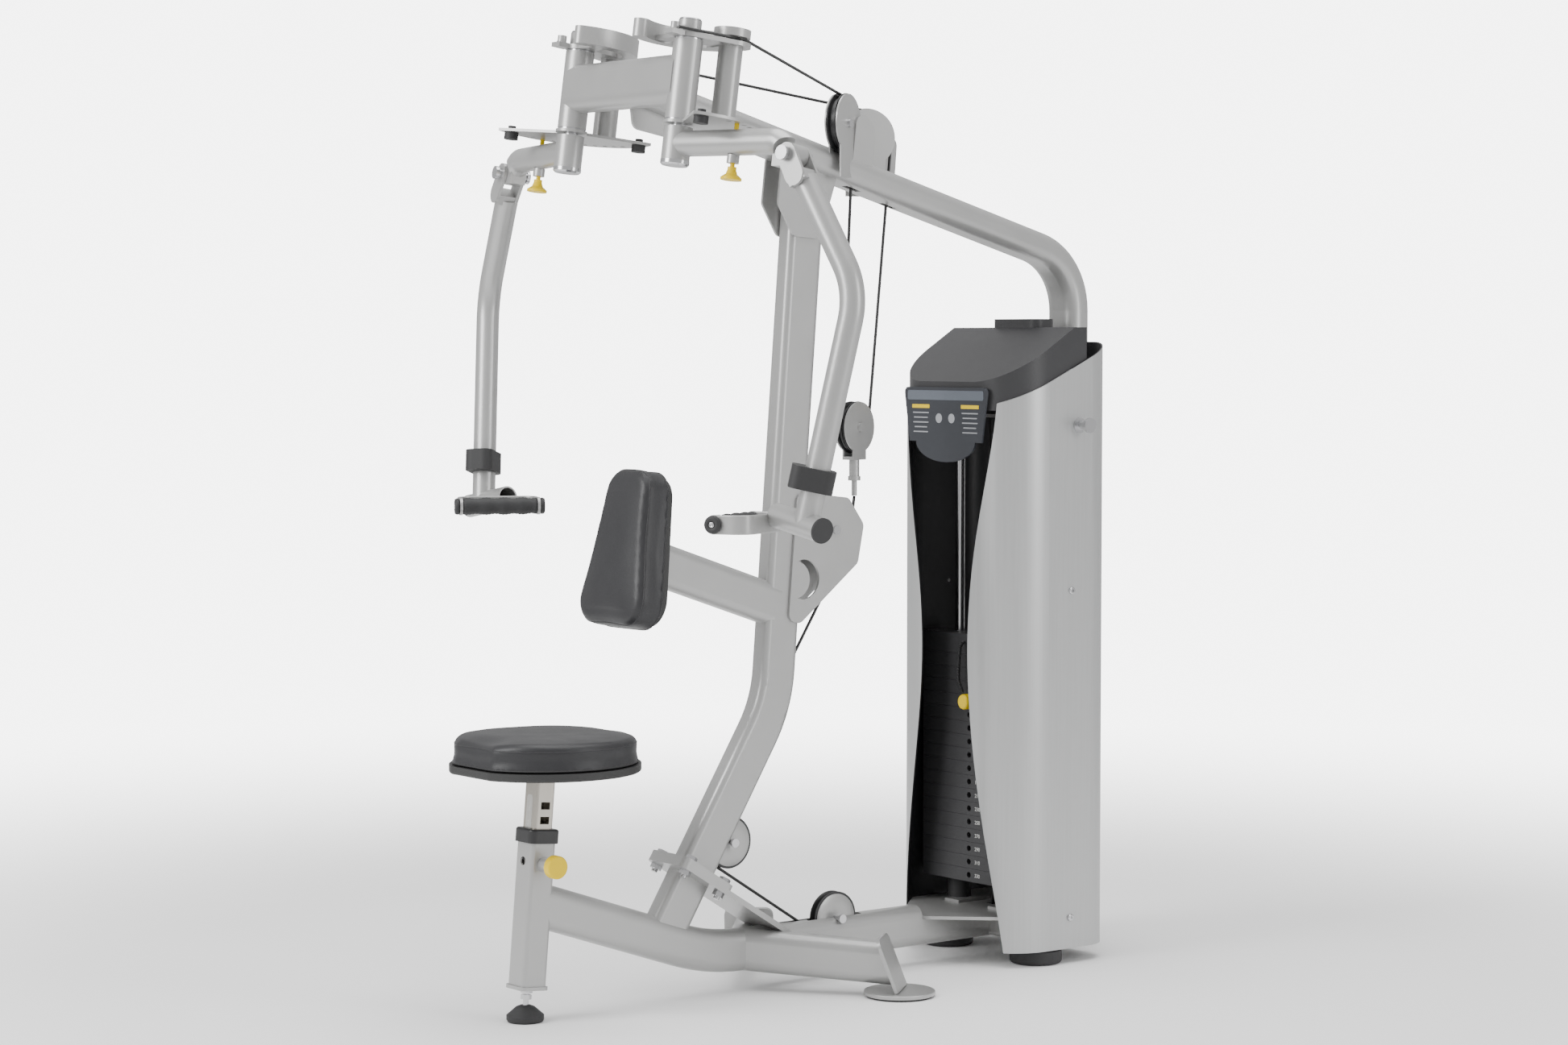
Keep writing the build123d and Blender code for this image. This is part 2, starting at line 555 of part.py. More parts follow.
def build_cam():
    low = (Align.CENTER, Align.CENTER, Align.MIN)
    dx, dy = DRUM
    # Cam plate: pivot eye, drum eye and clamp tab joined
    plate = make_hull((Circle(27) + Pos(dx, dy) * Circle(DRUM_R + 2)).edges())
    plate += Pos(*ANCHOR) * Rectangle(24, 26)
    cam = extrude(Pos(0, 0, CAM_Z) * plate, CAM_T)
    drum = Pos(dx, dy, CAM_Z) * Cylinder(DRUM_R, DRUM_H, align=low)
    groove = Pos(dx, dy, CAM_Z + DRUM_H / 2) * washer(DRUM_R + 10, DRUM_R - 2 * CABLE_R, 2 * CABLE_R + 2)
    cam += drum
    cam -= Pos(0, 0, -2 * CABLE_R - 1.5) * groove
    cam += Pos(0, 0, CAM_Z) * Cylinder(20, DRUM_H, align=low)
    # Curved balance bar on the inner side
    outer_r, inner_r = WEIGHT_R + WEIGHT_W / 2, WEIGHT_R - WEIGHT_W / 2
    ring = Circle(outer_r) - Circle(inner_r)
    start, end = polar(200, 108), polar(200, 214)
    middle = polar(400, 161)
    wedge = make_face(Polyline((0, 0), start, middle, end, close=True))
    bar = (ring & wedge) + Pos(*polar(WEIGHT_R, 214)) * Circle(WEIGHT_W / 2)
    cam += extrude(Pos(0, 0, CAM_Z - 2) * bar, WEIGHT_H)
    link = make_hull((Pos(*polar(WEIGHT_R, 118)) * Circle(12) + Pos(dx, dy) * Circle(20)).edges())
    cam += extrude(Pos(0, 0, CAM_Z - 2) * link, 14)
    web = make_hull((Pos(*polar(WEIGHT_R, 185)) * Circle(9) + Circle(18)).edges())
    cam += extrude(Pos(0, 0, CAM_Z) * web, CAM_T)
    # Post and range plate
    cam += Pos(dx, dy, ROM_TOP) * Cylinder(CAM_POST_R, CAM_Z - ROM_TOP, align=low)
    cam -= Pos(dx, dy, ROM_TOP) * Cylinder(CAM_POST_R - WALL, CAM_Z - ROM_TOP, align=low)
    sector = make_face(Polyline((0, 0), polar(240, ROM_START), polar(330, 0.5 * (ROM_START + ROM_END)),
                                polar(240, ROM_END), close=True))
    rom = (Circle(ROM_R) & sector) + Circle(28)
    rom -= Circle(SHAFT_R + 0.3)
    for k in range(10):
        rom -= Pos(*polar(ROM_HOLE_R, ARM_ANGLE + HOLE_STEP * (k - 1))) * Circle(HOLE_R)
    cam += extrude(Pos(0, 0, ROM_TOP - ROM_T) * rom, ROM_T)
    cam -= Pos(0, 0, CAM_Z - 3) * Cylinder(SHAFT_R + 0.3, DRUM_H, align=low)
    # Cable clamp
    ax, ay = ANCHOR
    clamp = Pos(ax, ay, CAM_Z + CAM_T) * Cylinder(8, 13, align=low)
    cam += clamp
    return pivot_frame * cam


def build_cam_bumpers():
    low = (Align.CENTER, Align.CENTER, Align.MAX)
    rubber = []
    for angle in BUMPER_ANGLES:
        x, y = polar(ROM_HOLE_R, angle)
        stop = Pos(x, y, ROM_TOP - ROM_T) * Cylinder(12.5, 13, align=low)
        stop += Pos(x, y, ROM_TOP) * Cylinder(7, 6, align=(Align.CENTER, Align.CENTER, Align.MIN))
        rubber.append(pivot_frame * stop)
    return group(*rubber)


def build_pivot_pins():
    """Pivot shaft with its end cap, and the clevis pin."""
    low = (Align.CENTER, Align.CENTER, Align.MIN)
    shaft = Pos(0, 0, HUB_LOW) * Cylinder(SHAFT_R, CAM_Z - 4 - HUB_LOW, align=low)
    cap = Pos(0, 0, HUB_LOW - 9) * Cylinder(PIVOT_R - 0.5, 9, align=low)
    cap = chamfer(cap.edges().group_by(Axis.Z)[0], 3)
    hinge = hinge_frame() * Cylinder(HINGE_R, 56)
    heads = hinge_frame() * (Pos(0, 0, 28) * Cylinder(12, 6, align=low) + Pos(0, 0, -34) * Cylinder(12, 6, align=low))
    return group(pivot_frame * (shaft + cap), hinge + heads)


def arm_point(reach, drop=0.0):
    """Point on the swing arm, `reach` out from the pivot axis in the arm's direction."""
    x, y = polar(reach, ARM_ANGLE)
    return in_pivot(x, y, 0.5 * (HUB_TOP + HUB_LOW) - drop)


def hinge_point():
    return arm_point(ARM_REACH, ARM_DROP)


def hinge_frame():
    """Frame of the clevis hinge: z along its pin, across the swing arm."""
    along = (arm_point(100) - arm_point(0)).normalized()
    across = pivot_axis.cross(along).normalized()
    return Plane(origin=hinge_point(), x_dir=along, z_dir=across)


def build_swing_arm():
    low = (Align.CENTER, Align.CENTER, Align.MIN)
    hub = Pos(0, 0, HUB_LOW) * Cylinder(PIVOT_R - 1, HUB_TOP - HUB_LOW, align=low)
    hub = pivot_frame * hub
    line = [arm_point(0), arm_point(ARM_REACH - 34, -2), arm_point(ARM_REACH + 2, ARM_DROP + 8)]
    outer, inner = round_tube([(p.X, p.Y, p.Z) for p in line], 30, ARM_R)
    knuckle = hinge_frame() * Cylinder(KNUCKLE_R, KNUCKLE_W)
    clear = hinge_frame() * Cylinder(31, 80)
    tube = outer - inner - hub - clear
    tube = biggest(tube)
    wall = outer & (hinge_frame() * (Cylinder(36, 80) - Cylinder(31, 80)))
    tube += biggest(wall)
    web = hinge_frame() * box_between((-34, -13, -KNUCKLE_W / 2), (0, 19, KNUCKLE_W / 2))
    arm = hub + tube + knuckle + web
    arm -= hinge_frame() * Cylinder(HINGE_R, 120)
    arm -= pivot_frame * (Pos(0, 0, HUB_LOW - 20) * Cylinder(SHAFT_R, 200, align=low))
    # Barrel of the range pin under the tube
    x, y = polar(ROM_HOLE_R, ARM_ANGLE)
    middle = 0.5 * (HUB_TOP + HUB_LOW)
    barrel = Pos(x, y, middle - ARM_R - 12) * Cylinder(10.5, 14, align=low)
    arm += pivot_frame * barrel
    arm -= pivot_frame * (Pos(x, y, middle - 60) * Cylinder(4.3, 200, align=low))
    return arm


def build_range_pin():
    """Spring pin of the swing arm with its flared knob."""
    low = (Align.CENTER, Align.CENTER, Align.MIN)
    x, y = polar(ROM_HOLE_R, ARM_ANGLE)
    middle = 0.5 * (HUB_TOP + HUB_LOW)
    foot = middle - ARM_R - 18.2
    tip = ROM_TOP - ROM_T - PIN_CLEAR
    pin = Pos(x, y, foot) * Cylinder(4.0, tip - foot, align=low)
    profile = [(0, foot), (7.5, foot), (7.5, foot - 5), (10, foot - 12), (18, foot - 18), (18, foot - 22), (0, foot - 22)]
    knob = revolve(make_face(Plane.XZ * Polyline(*profile, close=True)), Axis.Z)
    return pivot_frame * (pin + Pos(x, y, 0) * knob)


def lower_arm_points():
    hinge = hinge_point()
    elbow = hinge + Vector(ELBOW_OUT, ELBOW_BACK, -ELBOW_DOWN)
    wrist = hinge + Vector(WRIST_OUT, WRIST_BACK, -WRIST_DOWN)
    return hinge, elbow, wrist


def handle_tube_ends():
    """Ends of the handle's cross tube, square to the lower arm."""
    hinge, elbow, wrist = lower_arm_points()
    fall = (wrist - elbow).normalized()
    across = Vector(-1, 0, 0) - fall * Vector(-1, 0, 0).dot(fall)
    across = across.normalized()
    return wrist + across * T_IN, wrist - across * T_OUT


def build_lower_arm():
    hinge, elbow, wrist = lower_arm_points()
    frame = hinge_frame()
    start = hinge + (elbow - hinge).normalized() * 46
    points = [(p.X, p.Y, p.Z) for p in (start, elbow, wrist)]
    outer, inner = round_tube(points, 130, LOWER_R)
    inner_end, outer_end = handle_tube_ends()
    cross = rod(inner_end, outer_end, LOWER_R)
    tube = outer - inner - cross
    tube = biggest(tube)
    cross -= rod(inner_end, outer_end, LOWER_R - WALL)
    # Yoke: two cheeks and a bridge
    down = (elbow - hinge).normalized()
    flat = Plane(origin=hinge, x_dir=down, z_dir=frame.z_dir)
    eye = make_hull((Circle(KNUCKLE_R) + Pos(40, 0) * Circle(KNUCKLE_R)).edges())
    gap = KNUCKLE_W / 2 + 0.5
    cheek = extrude(flat.offset(gap) * eye, 6) + extrude(flat.offset(-gap) * eye, -6)
    bridge = flat * box_between((36, 2 - KNUCKLE_R, -gap - 4), (55, KNUCKLE_R - 2, gap + 4))
    yoke = cheek + bridge - frame * Cylinder(HINGE_R + RUN, 120)
    return group(tube - bridge, yoke, cross)


def build_rubber_stops():
    """Rubber stop block on the lower arm and the plug in the handle's cross tube."""
    hinge, elbow, wrist = lower_arm_points()
    fall = (wrist - elbow).normalized()
    middle = wrist - fall * 76
    frame = Plane(origin=middle, x_dir=Vector(0.6, 0.8, 0), z_dir=fall)
    block = extrude(frame.offset(-19) * (Pos(-6, 0) * RectangleRounded(74, 52, 16)), 38)
    block -= rod(wrist, elbow, LOWER_R)
    inner_end, outer_end = handle_tube_ends()
    out = (outer_end - inner_end).normalized()
    plug = rod(outer_end - out * 14, outer_end, LOWER_R - WALL) + rod(outer_end, outer_end + out * 4, LOWER_R)
    return group(block, plug)


def grip_frame():
    front, rear = Vector(*GRIP_FRONT), Vector(*GRIP_REAR)
    along = (rear - front).normalized()
    return Plane(origin=front, x_dir=Vector(0, 0, 1).cross(along) * -1, z_dir=along), (rear - front).length


def build_handle_bracket():
    """Flat band bent round the grip, with an eye at each end, on the inner end of the cross tube."""
    frame, length = grip_frame()
    out = frame.x_dir if frame.x_dir.X > 0 else frame.x_dir * -1
    front, rear = Vector(*GRIP_FRONT), Vector(*GRIP_REAR)
    corners = [front, front + out * BAND_OFF, rear + out * BAND_OFF, rear]
    path = FilletPolyline(*corners, radius=26)
    start = Plane(origin=path @ 0, x_dir=(0, 0, 1), z_dir=path % 0)
    band = sweep(start * RectangleRounded(BAND_H, BAND_T, 2), path=path)
    along = (rear - front).normalized()
    for end in (front, rear):
        band += rod(end - along * BAND_T / 2, end + along * BAND_T / 2, BAND_H / 2)
        band -= rod(end - along * 20, end + along * 20, 6.0)
    inner_end, outer_end = handle_tube_ends()
    band -= rod(inner_end, outer_end, LOWER_R)
    return biggest(band)


def build_grip():
    """Rubber grip on its core bar, with a round cap outside each eye."""
    front, rear = Vector(*GRIP_FRONT), Vector(*GRIP_REAR)
    along = (rear - front).normalized()
    half = BAND_T / 2
    core = rod(front - along * (half + 2), rear + along * (half + 2), 6.0)
    sleeve = rod(front + along * half, rear - along * half, GRIP_R)
    caps = rod(front - along * (half + 9), front - along * half, 15) + rod(rear + along * half, rear + along * (half + 9), 15)
    return core + sleeve + caps


# ---------------------------------------------------------------- seat and pad
def seat_outline(grow=0.0):
    disc = Circle(SEAT_R + grow)
    cut = Pos(0, -SEAT_FLAT - grow - 100) * Rectangle(600, 200)
    face = disc - cut
    return fillet(face.vertices(), 18)


def build_seat_post():
    length = SEAT_BASE - POST_LOW + 10
    bore = POST_SQ - 2 * WALL
    post = extrude(Pos(0, 0, POST_LOW) * RectangleRounded(POST_SQ, POST_SQ, POST_R), length)
    post -= extrude(Pos(0, 0, POST_LOW) * RectangleRounded(bore, bore, POST_R - WALL), length)
    for k in range(-4, 5):
        post -= Pos(POST_SQ / 2, 0, PIN_UP + k * SEAT_PITCH) * Box(12, 18, 12.6)
    post = seat_frame * post - seat_level * box_between((-60, -90, -3), (60, 60, 40))
    plate = seat_level * (Pos(0, -SEAT_SHIFT, -6) * extrude(RectangleRounded(120, 160, 14), 6))
    return post + plate


def build_seat_board():
    board = extrude(seat_outline(), SEAT_BOARD_T)
    return seat_level * fillet(board.edges().group_by(Axis.Z)[0], 4)


def build_seat_cushion():
    pad = extrude(Pos(0, 0, SEAT_BOARD_T) * seat_outline(-2), SEAT_PAD_T)
    return seat_level * fillet(pad.edges().group_by(Axis.Z)[-1], 14)


def build_seat_pin():
    low = (Align.CENTER, Align.CENTER, Align.MIN)
    turn = Rot(0, 90, 0)
    start = POST_SQ / 2 + PIN_CLEAR
    nose = Pos(start, 0, PIN_UP) * (turn * Cylinder(6.0, 40, align=low))
    knob = Pos(56, 0, PIN_UP) * (turn * Cylinder(20, 15, align=low))
    knob = fillet(knob.edges().group_by(Axis.X)[-1], 3)
    neck = Pos(53.8, 0, PIN_UP) * (turn * Cylinder(11, 3, align=low))
    return seat_frame * (nose + knob + neck)


def pad_outline(shrink=0.0):
    half_h = PAD_H / 2 - shrink
    top, low = PAD_TOP_W / 2 - shrink, PAD_LOW_W / 2 - shrink
    face = make_face(Polyline((-low, -half_h), (low, -half_h), (top, half_h), (-top, half_h), close=True))
    return fillet(face.vertices(), PAD_CORNER)


def build_pad_cushion():
    pad = extrude(pad_frame.offset(-PAD_THICK / 2) * pad_outline(), PAD_THICK)
    front = pad.faces().sort_by(Axis.Y)[0]
    return fillet(front.edges(), 14)


def build_pad_board():
    return extrude(pad_frame.offset(-PAD_THICK / 2 - PAD_BOARD_T) * pad_outline(10), PAD_BOARD_T)


# ---------------------------------------------------------------- weight tower
def shroud_plan(offset=0.0):
    """Plan of both shrouds together: a rounded oblong with big front corners."""
    x = SHROUD_X - offset
    front, back = SHROUD_FRONT + offset, SHROUD_BACK - offset
    shape = make_face(Polyline((-x, front), (x, front), (x, back), (-x, back), close=True))
    shape = fillet(shape.vertices().sort_by(Axis.Y)[:2], SHROUD_CORNER - offset)
    return fillet(shape.vertices().sort_by(Axis.Y)[-2:], SHROUD_REAR_R - offset)


def build_shroud():
    """Right shroud: a curved sheet with an hourglass front edge and a sloping top."""
    height = 1300.0
    shell = extrude(shroud_plan(), height) - extrude(shroud_plan(SHROUD_T), height)
    shell -= box_between((-400, 0, -10), (0, 1500, height + 10))
    # Opening at the front, wide at the top and bottom and narrow at the waist
    edge = Spline((129, SHROUD_TOP + 60), (112, 930), (80, 760), (65, 600), (84, 380), (118, 180), (142, SHROUD_LOW - 20))
    opening = make_face(edge + Polyline((142, SHROUD_LOW - 20), (-10, SHROUD_LOW - 20), (-10, SHROUD_TOP + 60), (129, SHROUD_TOP + 60)))
    cutter = extrude(Plane.XZ * opening, -SHROUD_BACK + 130)
    shell -= cutter
    # Gap at the back for the upright
    shell -= box_between((-10, SHROUD_BACK - 70, -10), (56, SHROUD_BACK + 10, height + 10))
    shell -= box_between((-10, 0, -10), (400, 1500, SHROUD_LOW))
    slope = Plane(origin=(0, SHROUD_FRONT, SHROUD_TOP), x_dir=(1, 0, 0),
                  z_dir=(0, -sin(radians(SHROUD_RISE)), cos(radians(SHROUD_RISE))))
    shell -= slope * box_between((-400, -400, 0), (400, 900, 900))
    for z in SHROUD_SCREWS:
        shell -= Pos(SHROUD_X, SHROUD_SCREW_Y, z) * (Rot(0, 90, 0) * Cylinder(3.6, 20))
    return biggest(shell)


def build_cap():
    """Plastic cap inside the shrouds' top: sloping roof, raised boss at the back, open below."""
    inset = SHROUD_T + 1.5
    full = extrude(shroud_plan(inset), 1400)
    full -= box_between((-400, CAP_REAR_Y + 30, -10), (400, 1500, 1500))
    run = CAP_REAR_Y - SHROUD_FRONT
    rise = degrees(atan2(CAP_REAR_Z - CAP_FRONT_Z, run))
    roof = Plane(origin=(0, SHROUD_FRONT, CAP_FRONT_Z), x_dir=(1, 0, 0),
                 z_dir=(0, -sin(radians(rise)), cos(radians(rise))))
    full -= roof * box_between((-400, -200, 0), (400, 900, 900))
    full -= box_between((-400, 0, -10), (400, 1500, SHROUD_TOP - 6))
    full -= box_between((-400, 0, CAP_REAR_Z), (400, 1500, 1600))
    top_edges = full.edges().group_by(Axis.Z)
    inner = extrude(shroud_plan(inset + 4), 1400) - box_between((-400, CAP_REAR_Y + 26, -10), (400, 1500, 1500))
    inner -= roof * box_between((-400, -200, -4), (400, 900, 900))
    inner -= box_between((-400, 0, CAP_REAR_Z - 4), (400, 1500, 1600))
    cap = full - inner
    boss = extrude(Pos(0, CAP_REAR_Y + 26) * RectangleRounded(128, 56, 20), CAP_REAR_Z + 16)
    boss -= box_between((-200, 0, -10), (200, 1500, CAP_REAR_Z - 30))
    hollow = extrude(Pos(0, CAP_REAR_Y + 26) * RectangleRounded(120, 48, 16), CAP_REAR_Z + 12)
    cap = cap + boss - hollow
    cap -= box_between((-60, POST_Y - TOP_H / 2 - 3, -10), (60, 1500, 1500))
    return biggest(cap)


def build_placard():
    """Instruction shield hung inside the front opening, its lower lobe rounded."""
    top, low = 1078.0, 976.0
    shield = make_face(Polyline((-119, top), (119, top), (103, low), (-103, low), close=True))
    shield = fillet(shield.vertices().sort_by(Axis.Y)[-2:], 10)
    shield += Pos(0, low) * Ellipse(84, 38)
    return Pos(0, SHROUD_FRONT + 4.2, 0) * extrude(Plane.XZ * shield, 4)


def plate_blank(height):
    blank = Box(PLATE_W, PLATE_D, height, align=(Align.CENTER, Align.CENTER, Align.MIN))
    blank = chamfer(blank.edges().filter_by(Axis.Z), 6)
    for x in (-GUIDE_X, GUIDE_X):
        blank -= Pos(x, 0, 0) * Cylinder(GUIDE_R + 1.0, 3 * height)
    return blank


def stack_plate(index):
    """Weight plate with its selector rod bore, pin hole and guide holes."""
    plate = plate_blank(PLATE_PITCH - PLATE_GAP)
    plate -= Cylinder(ROD_R + 1.5, 3 * PLATE_PITCH)
    plate -= Pos(0, -PLATE_D / 2, PLATE_PITCH / 2) * (Rot(90, 0, 0) * Cylinder(PIN_R + 0.5, 2 * PIN_REACH + 6))
    return Pos(0, STACK_Y, STACK_Z + index * PLATE_PITCH) * plate


def build_head_plate():
    """Head plate with the selector rod under it."""
    base = STACK_Z + PLATES * PLATE_PITCH
    plate = Pos(0, STACK_Y, base) * plate_blank(HEAD_PLATE_H)
    rod_low = STACK_Z + 2
    selector = Pos(0, STACK_Y, rod_low) * Cylinder(ROD_R, base - rod_low, align=(Align.CENTER, Align.CENTER, Align.MIN))
    for k in range(PLATES):
        selector -= Pos(0, STACK_Y, STACK_Z + (k + 0.5) * PLATE_PITCH) * (Rot(90, 0, 0) * Cylinder(PIN_R + 0.5, 60))
    eye = Pos(0, STACK_Y, base + HEAD_PLATE_H) * Cylinder(11, 26, align=(Align.CENTER, Align.CENTER, Align.MIN))
    return group(plate, selector, eye)


def build_weight_pin():
    z = STACK_Z + (PLATES - LIFTED + 0.5) * PLATE_PITCH
    front = STACK_Y - PLATE_D / 2
    turn = Rot(90, 0, 0)
    low = (Align.CENTER, Align.CENTER, Align.MIN)
    pin = Pos(0, front + PIN_REACH, z) * (turn * Cylinder(PIN_R, PIN_REACH, align=low))
    knob = Pos(0, front - 0.5, z) * (turn * Cylinder(14.5, 18, align=low))
    knob = fillet(knob.edges().group_by(Axis.Y)[0], 5)
    return pin + Pos(0, front, z) * (turn * Cylinder(PIN_R, 2, align=low)) + knob


def build_tower_base():
    """Base plate on the beam, the cross member under it and the lugs of the base pulleys."""
    low = (Align.CENTER, Align.CENTER, Align.MIN)
    plate = make_face(Polyline((-34, 706), (34, 706), (150, 830), (150, 1035), (-150, 1035), (-150, 830), close=True))
    plate = fillet(plate.vertices(), 18)
    deck = extrude(Pos(0, 0, BASE_TOP - 6) * plate, 6)
    slot = PULLEY_W / 2 + 2
    deck -= box_between((-slot, TOWER_LOW[0] - 50, 0), (slot, TOWER_LOW[0] + 46, 300))
    deck -= box_between((-slot - 5, TOWER_LOW[0] - 24, 0), (slot + 5, TOWER_LOW[0] + 24, 300))
    bar = box_between((-166, 874, 38), (166, 924, BASE_TOP - 6))
    bar = fillet(bar.edges().filter_by(Axis.X), 8)
    hollow = box_between((-180, 877, 41), (180, 921, BASE_TOP - 9))
    bar = bar - hollow - beam_outer
    lugs = [box_between((s * slot if s > 0 else -slot - 5, TOWER_LOW[0] - 24, BASE_TOP - 6),
                        (slot + 5 if s > 0 else -slot, TOWER_LOW[0] + 24, TOWER_LOW[1] + 16)) for s in (1, -1)]
    hole = Pos(0, *TOWER_LOW) * (Rot(0, 90, 0) * Cylinder(AXLE_R, 60))
    rail = [box_between((s * 62 - 20, STACK_Y - 40, BASE_TOP), (s * 62 + 20, STACK_Y + 40, BASE_TOP + 5)) for s in (1, -1)]
    return group(deck, bar, *[lug - hole for lug in lugs], *rail)


def build_tower_head():
    """Bracket from the upright that holds the guide rods' tops and the tower's top pulley."""
    gap = PULLEY_W / 2 + 1.5
    y_front, y_back = STACK_Y - 34, POST_Y - TOP_H / 2
    bar = box_between((-108, STACK_Y - 24, GUIDE_TOP - 22), (108, STACK_Y + 24, GUIDE_TOP - 16))
    arms = []
    for s in (1, -1):
        arm = box_between((gap if s > 0 else -gap - 5, y_front, GUIDE_TOP - 16), (gap + 5 if s > 0 else -gap, y_back, GUIDE_TOP + 44))
        arm -= Pos(0, *TOWER_TOP) * (Rot(0, 90, 0) * Cylinder(AXLE_R, 60))
        arms.append(arm)
    bar -= Pos(0, STACK_Y, GUIDE_TOP - 20) * Cylinder(12, 40)
    for x in (-GUIDE_X, GUIDE_X):
        bar -= Pos(x, STACK_Y, GUIDE_TOP - 20) * Cylinder(GUIDE_R, 40)
    # Strips that hold the shrouds to the upright
    strips = []
    for z in (BASE_TOP + 86.0, 700.0):
        strip = box_between((-SHROUD_X + SHROUD_T + 66, SHROUD_BACK - SHROUD_T - 5, z - 20), (SHROUD_X - SHROUD_T - 66, SHROUD_BACK - SHROUD_T, z + 20))
        block = box_between((-30, SHROUD_BACK - SHROUD_T, z - 20), (30, POST_Y - TOP_H / 2, z + 20))
        strips += [strip + block]
    return group(bar, *arms, *strips)


def build_guide_rods():
    low = (Align.CENTER, Align.CENTER, Align.MIN)
    bar = Pos(GUIDE_X, STACK_Y, BASE_TOP + 5) * Cylinder(GUIDE_R, GUIDE_TOP - BASE_TOP - 5, align=low)
    return both(bar)


def build_rubber():
    """Rubber: pads under the cross feet, tower feet, the levelling foot and the stack's bumpers."""
    low = (Align.CENTER, Align.CENTER, Align.MIN)
    pad = Pos(FOOT_X, FOOT_Y, 0) * Cylinder(FOOT_DISC_R - 3, PAD_T, align=low)
    foot = Cylinder(TOWER_FOOT_R, SHROUD_LOW - 3, align=low)
    foot = fillet(foot.edges().group_by(Axis.Z)[0], 6) + Cylinder(0.76 * TOWER_FOOT_R, 38, align=low)
    foot = Pos(TOWER_FOOT_X, 899, 0) * foot
    dome = Polyline((0, 0), (LEVEL_R - 2, 0), (LEVEL_R, 4), (LEVEL_R, 11), (LEVEL_R - 16, LEVEL_H - 3), (9, LEVEL_H), (0, LEVEL_H), close=True)
    level = Pos(0, SEAT_Y0 + 1.5, 0) * revolve(make_face(Plane.XZ * dome), Axis.Z)
    level -= stud_solid()
    ring = Pos(GUIDE_X, STACK_Y, BASE_TOP + 5) * washer(22, GUIDE_R, STACK_Z - BASE_TOP - 5)
    return group(both(pad), both(foot), level, both(ring))


def stud_solid():
    low = (Align.CENTER, Align.CENTER, Align.MIN)
    stud = Pos(0, 0, 16) * Cylinder(STUD_R, SEAT_TUBE_LOW - 16 + 10, align=low)
    nut = Pos(0, 0, 38) * extrude(RegularPolygon(9.5, 6), 8)
    seat = Pos(0, 0, SEAT_TUBE_LOW - 13) * extrude(RegularPolygon(10.5, 6), 7)
    return seat_frame * (stud + nut + seat)


def build_fittings():
    """Bolts, nuts, axles, bushes and the accessory peg."""
    low = (Align.CENTER, Align.CENTER, Align.MIN)
    pieces = [stud_solid()]
    for x in (-SPLICE_BOLT, SPLICE_BOLT):
        for y in (-SPLICE_BOLT, SPLICE_BOLT):
            shank = Pos(x, y, -SPLICE_T - 14) * Cylinder(5.5, 2 * SPLICE_T + 14, align=low)
            head = Pos(x, y, SPLICE_T) * extrude(RegularPolygon(10.5, 6), 7)
            nut = Pos(x, y, -SPLICE_T - 9) * extrude(RegularPolygon(10.5, 6), 9)
            pieces.append(splice_frame * (shank + head + nut))
    side = COLUMN_W / 2 + 5
    for place in ((MID[0], MID[1]),):
        pieces.append(axle(facing_x(0, *place), side))
    pieces.append(axle(facing_x(0, *LOW), COLUMN_W / 2))
    pieces.append(axle(facing_x(0, *BASE), BEAM_W / 2) - beam_outer + rod((-BEAM_W / 2, *BASE), (BEAM_W / 2, *BASE), AXLE_R))
    pieces.append(axle(facing_x(0, *TOWER_LOW), PULLEY_W / 2 + 7, AXLE_R - 0.5))
    pieces.append(axle(facing_x(0, *TOWER_TOP), PULLEY_W / 2 + 6.5))
    for s in (1, -1):
        pieces.append(axle(top_pulley_frame(s), PULLEY_W / 2 + 4.5))
    bush = Pos(0, 0, PIVOT_HALF - 24) * washer(PIVOT_R - WALL, SHAFT_R + RUN, 24) + Pos(0, 0, PIVOT_HALF) * washer(PIVOT_R - 1, SHAFT_R + RUN, 2.5)
    for turn in (0, 180):
        pieces.append(both(pivot_frame * (Rot(turn, 0, 0) * bush)))
    # Accessory peg on the right shroud
    peg = rod((SHROUD_X, 957, 1008), (SHROUD_X + 26, 957, 1008), 9) + rod((SHROUD_X + 26, 957, 1008), (SHROUD_X + 32, 957, 1008), 14)
    peg += rod((SHROUD_X, 957, 1008), (SHROUD_X + 4, 957, 1008), 14)
    pieces.append(peg)
    for z in SHROUD_SCREWS:
        flat = Plane(origin=(SHROUD_X, SHROUD_SCREW_Y, z), z_dir=(1, 0, 0))
        pieces.append(both(screw(flat, 3.5, 7.0, SHROUD_T)))
    return group(*pieces)


# ---------------------------------------------------------------- cables
def build_floating_bracket():
    """Side plates, bridge and threaded adjuster of the floating pulley."""
    frame = upright_frame(FLOAT, FLOAT_TURN)
    gap = PULLEY_W / 2 + 1.5
    tail = SMALL_R + 12
    pieces = None
    for sign in (1, -1):
        face = Circle(SMALL_R - 1) + Pos(0, -tail / 2) * Rectangle(40, tail)
        plate = extrude(frame.offset(sign * gap) * face, sign * 3)
        pieces = plate if pieces is None else pieces + plate
    pieces += frame * box_between((-20, -tail, -gap - 3), (20, -tail + 6, gap + 3))
    pieces += frame * Cylinder(AXLE_R, 2 * gap + 6)
    pieces += frame * (Pos(0, 0, gap + 3) * Cylinder(8, 5, align=(Align.CENTER, Align.CENTER, Align.MIN)))
    x, y, z = FLOAT
    pieces += rod((x, y, z - tail - 30), (x, y, z - tail), 9.5)
    pieces += rod((x, y, z - tail - 38), (x, y, z - tail - 30), 11.5)
    pieces += rod((x, y, z - SMALL_R - ADJUSTER), (x, y, z - tail - 38), 5)
    return pieces


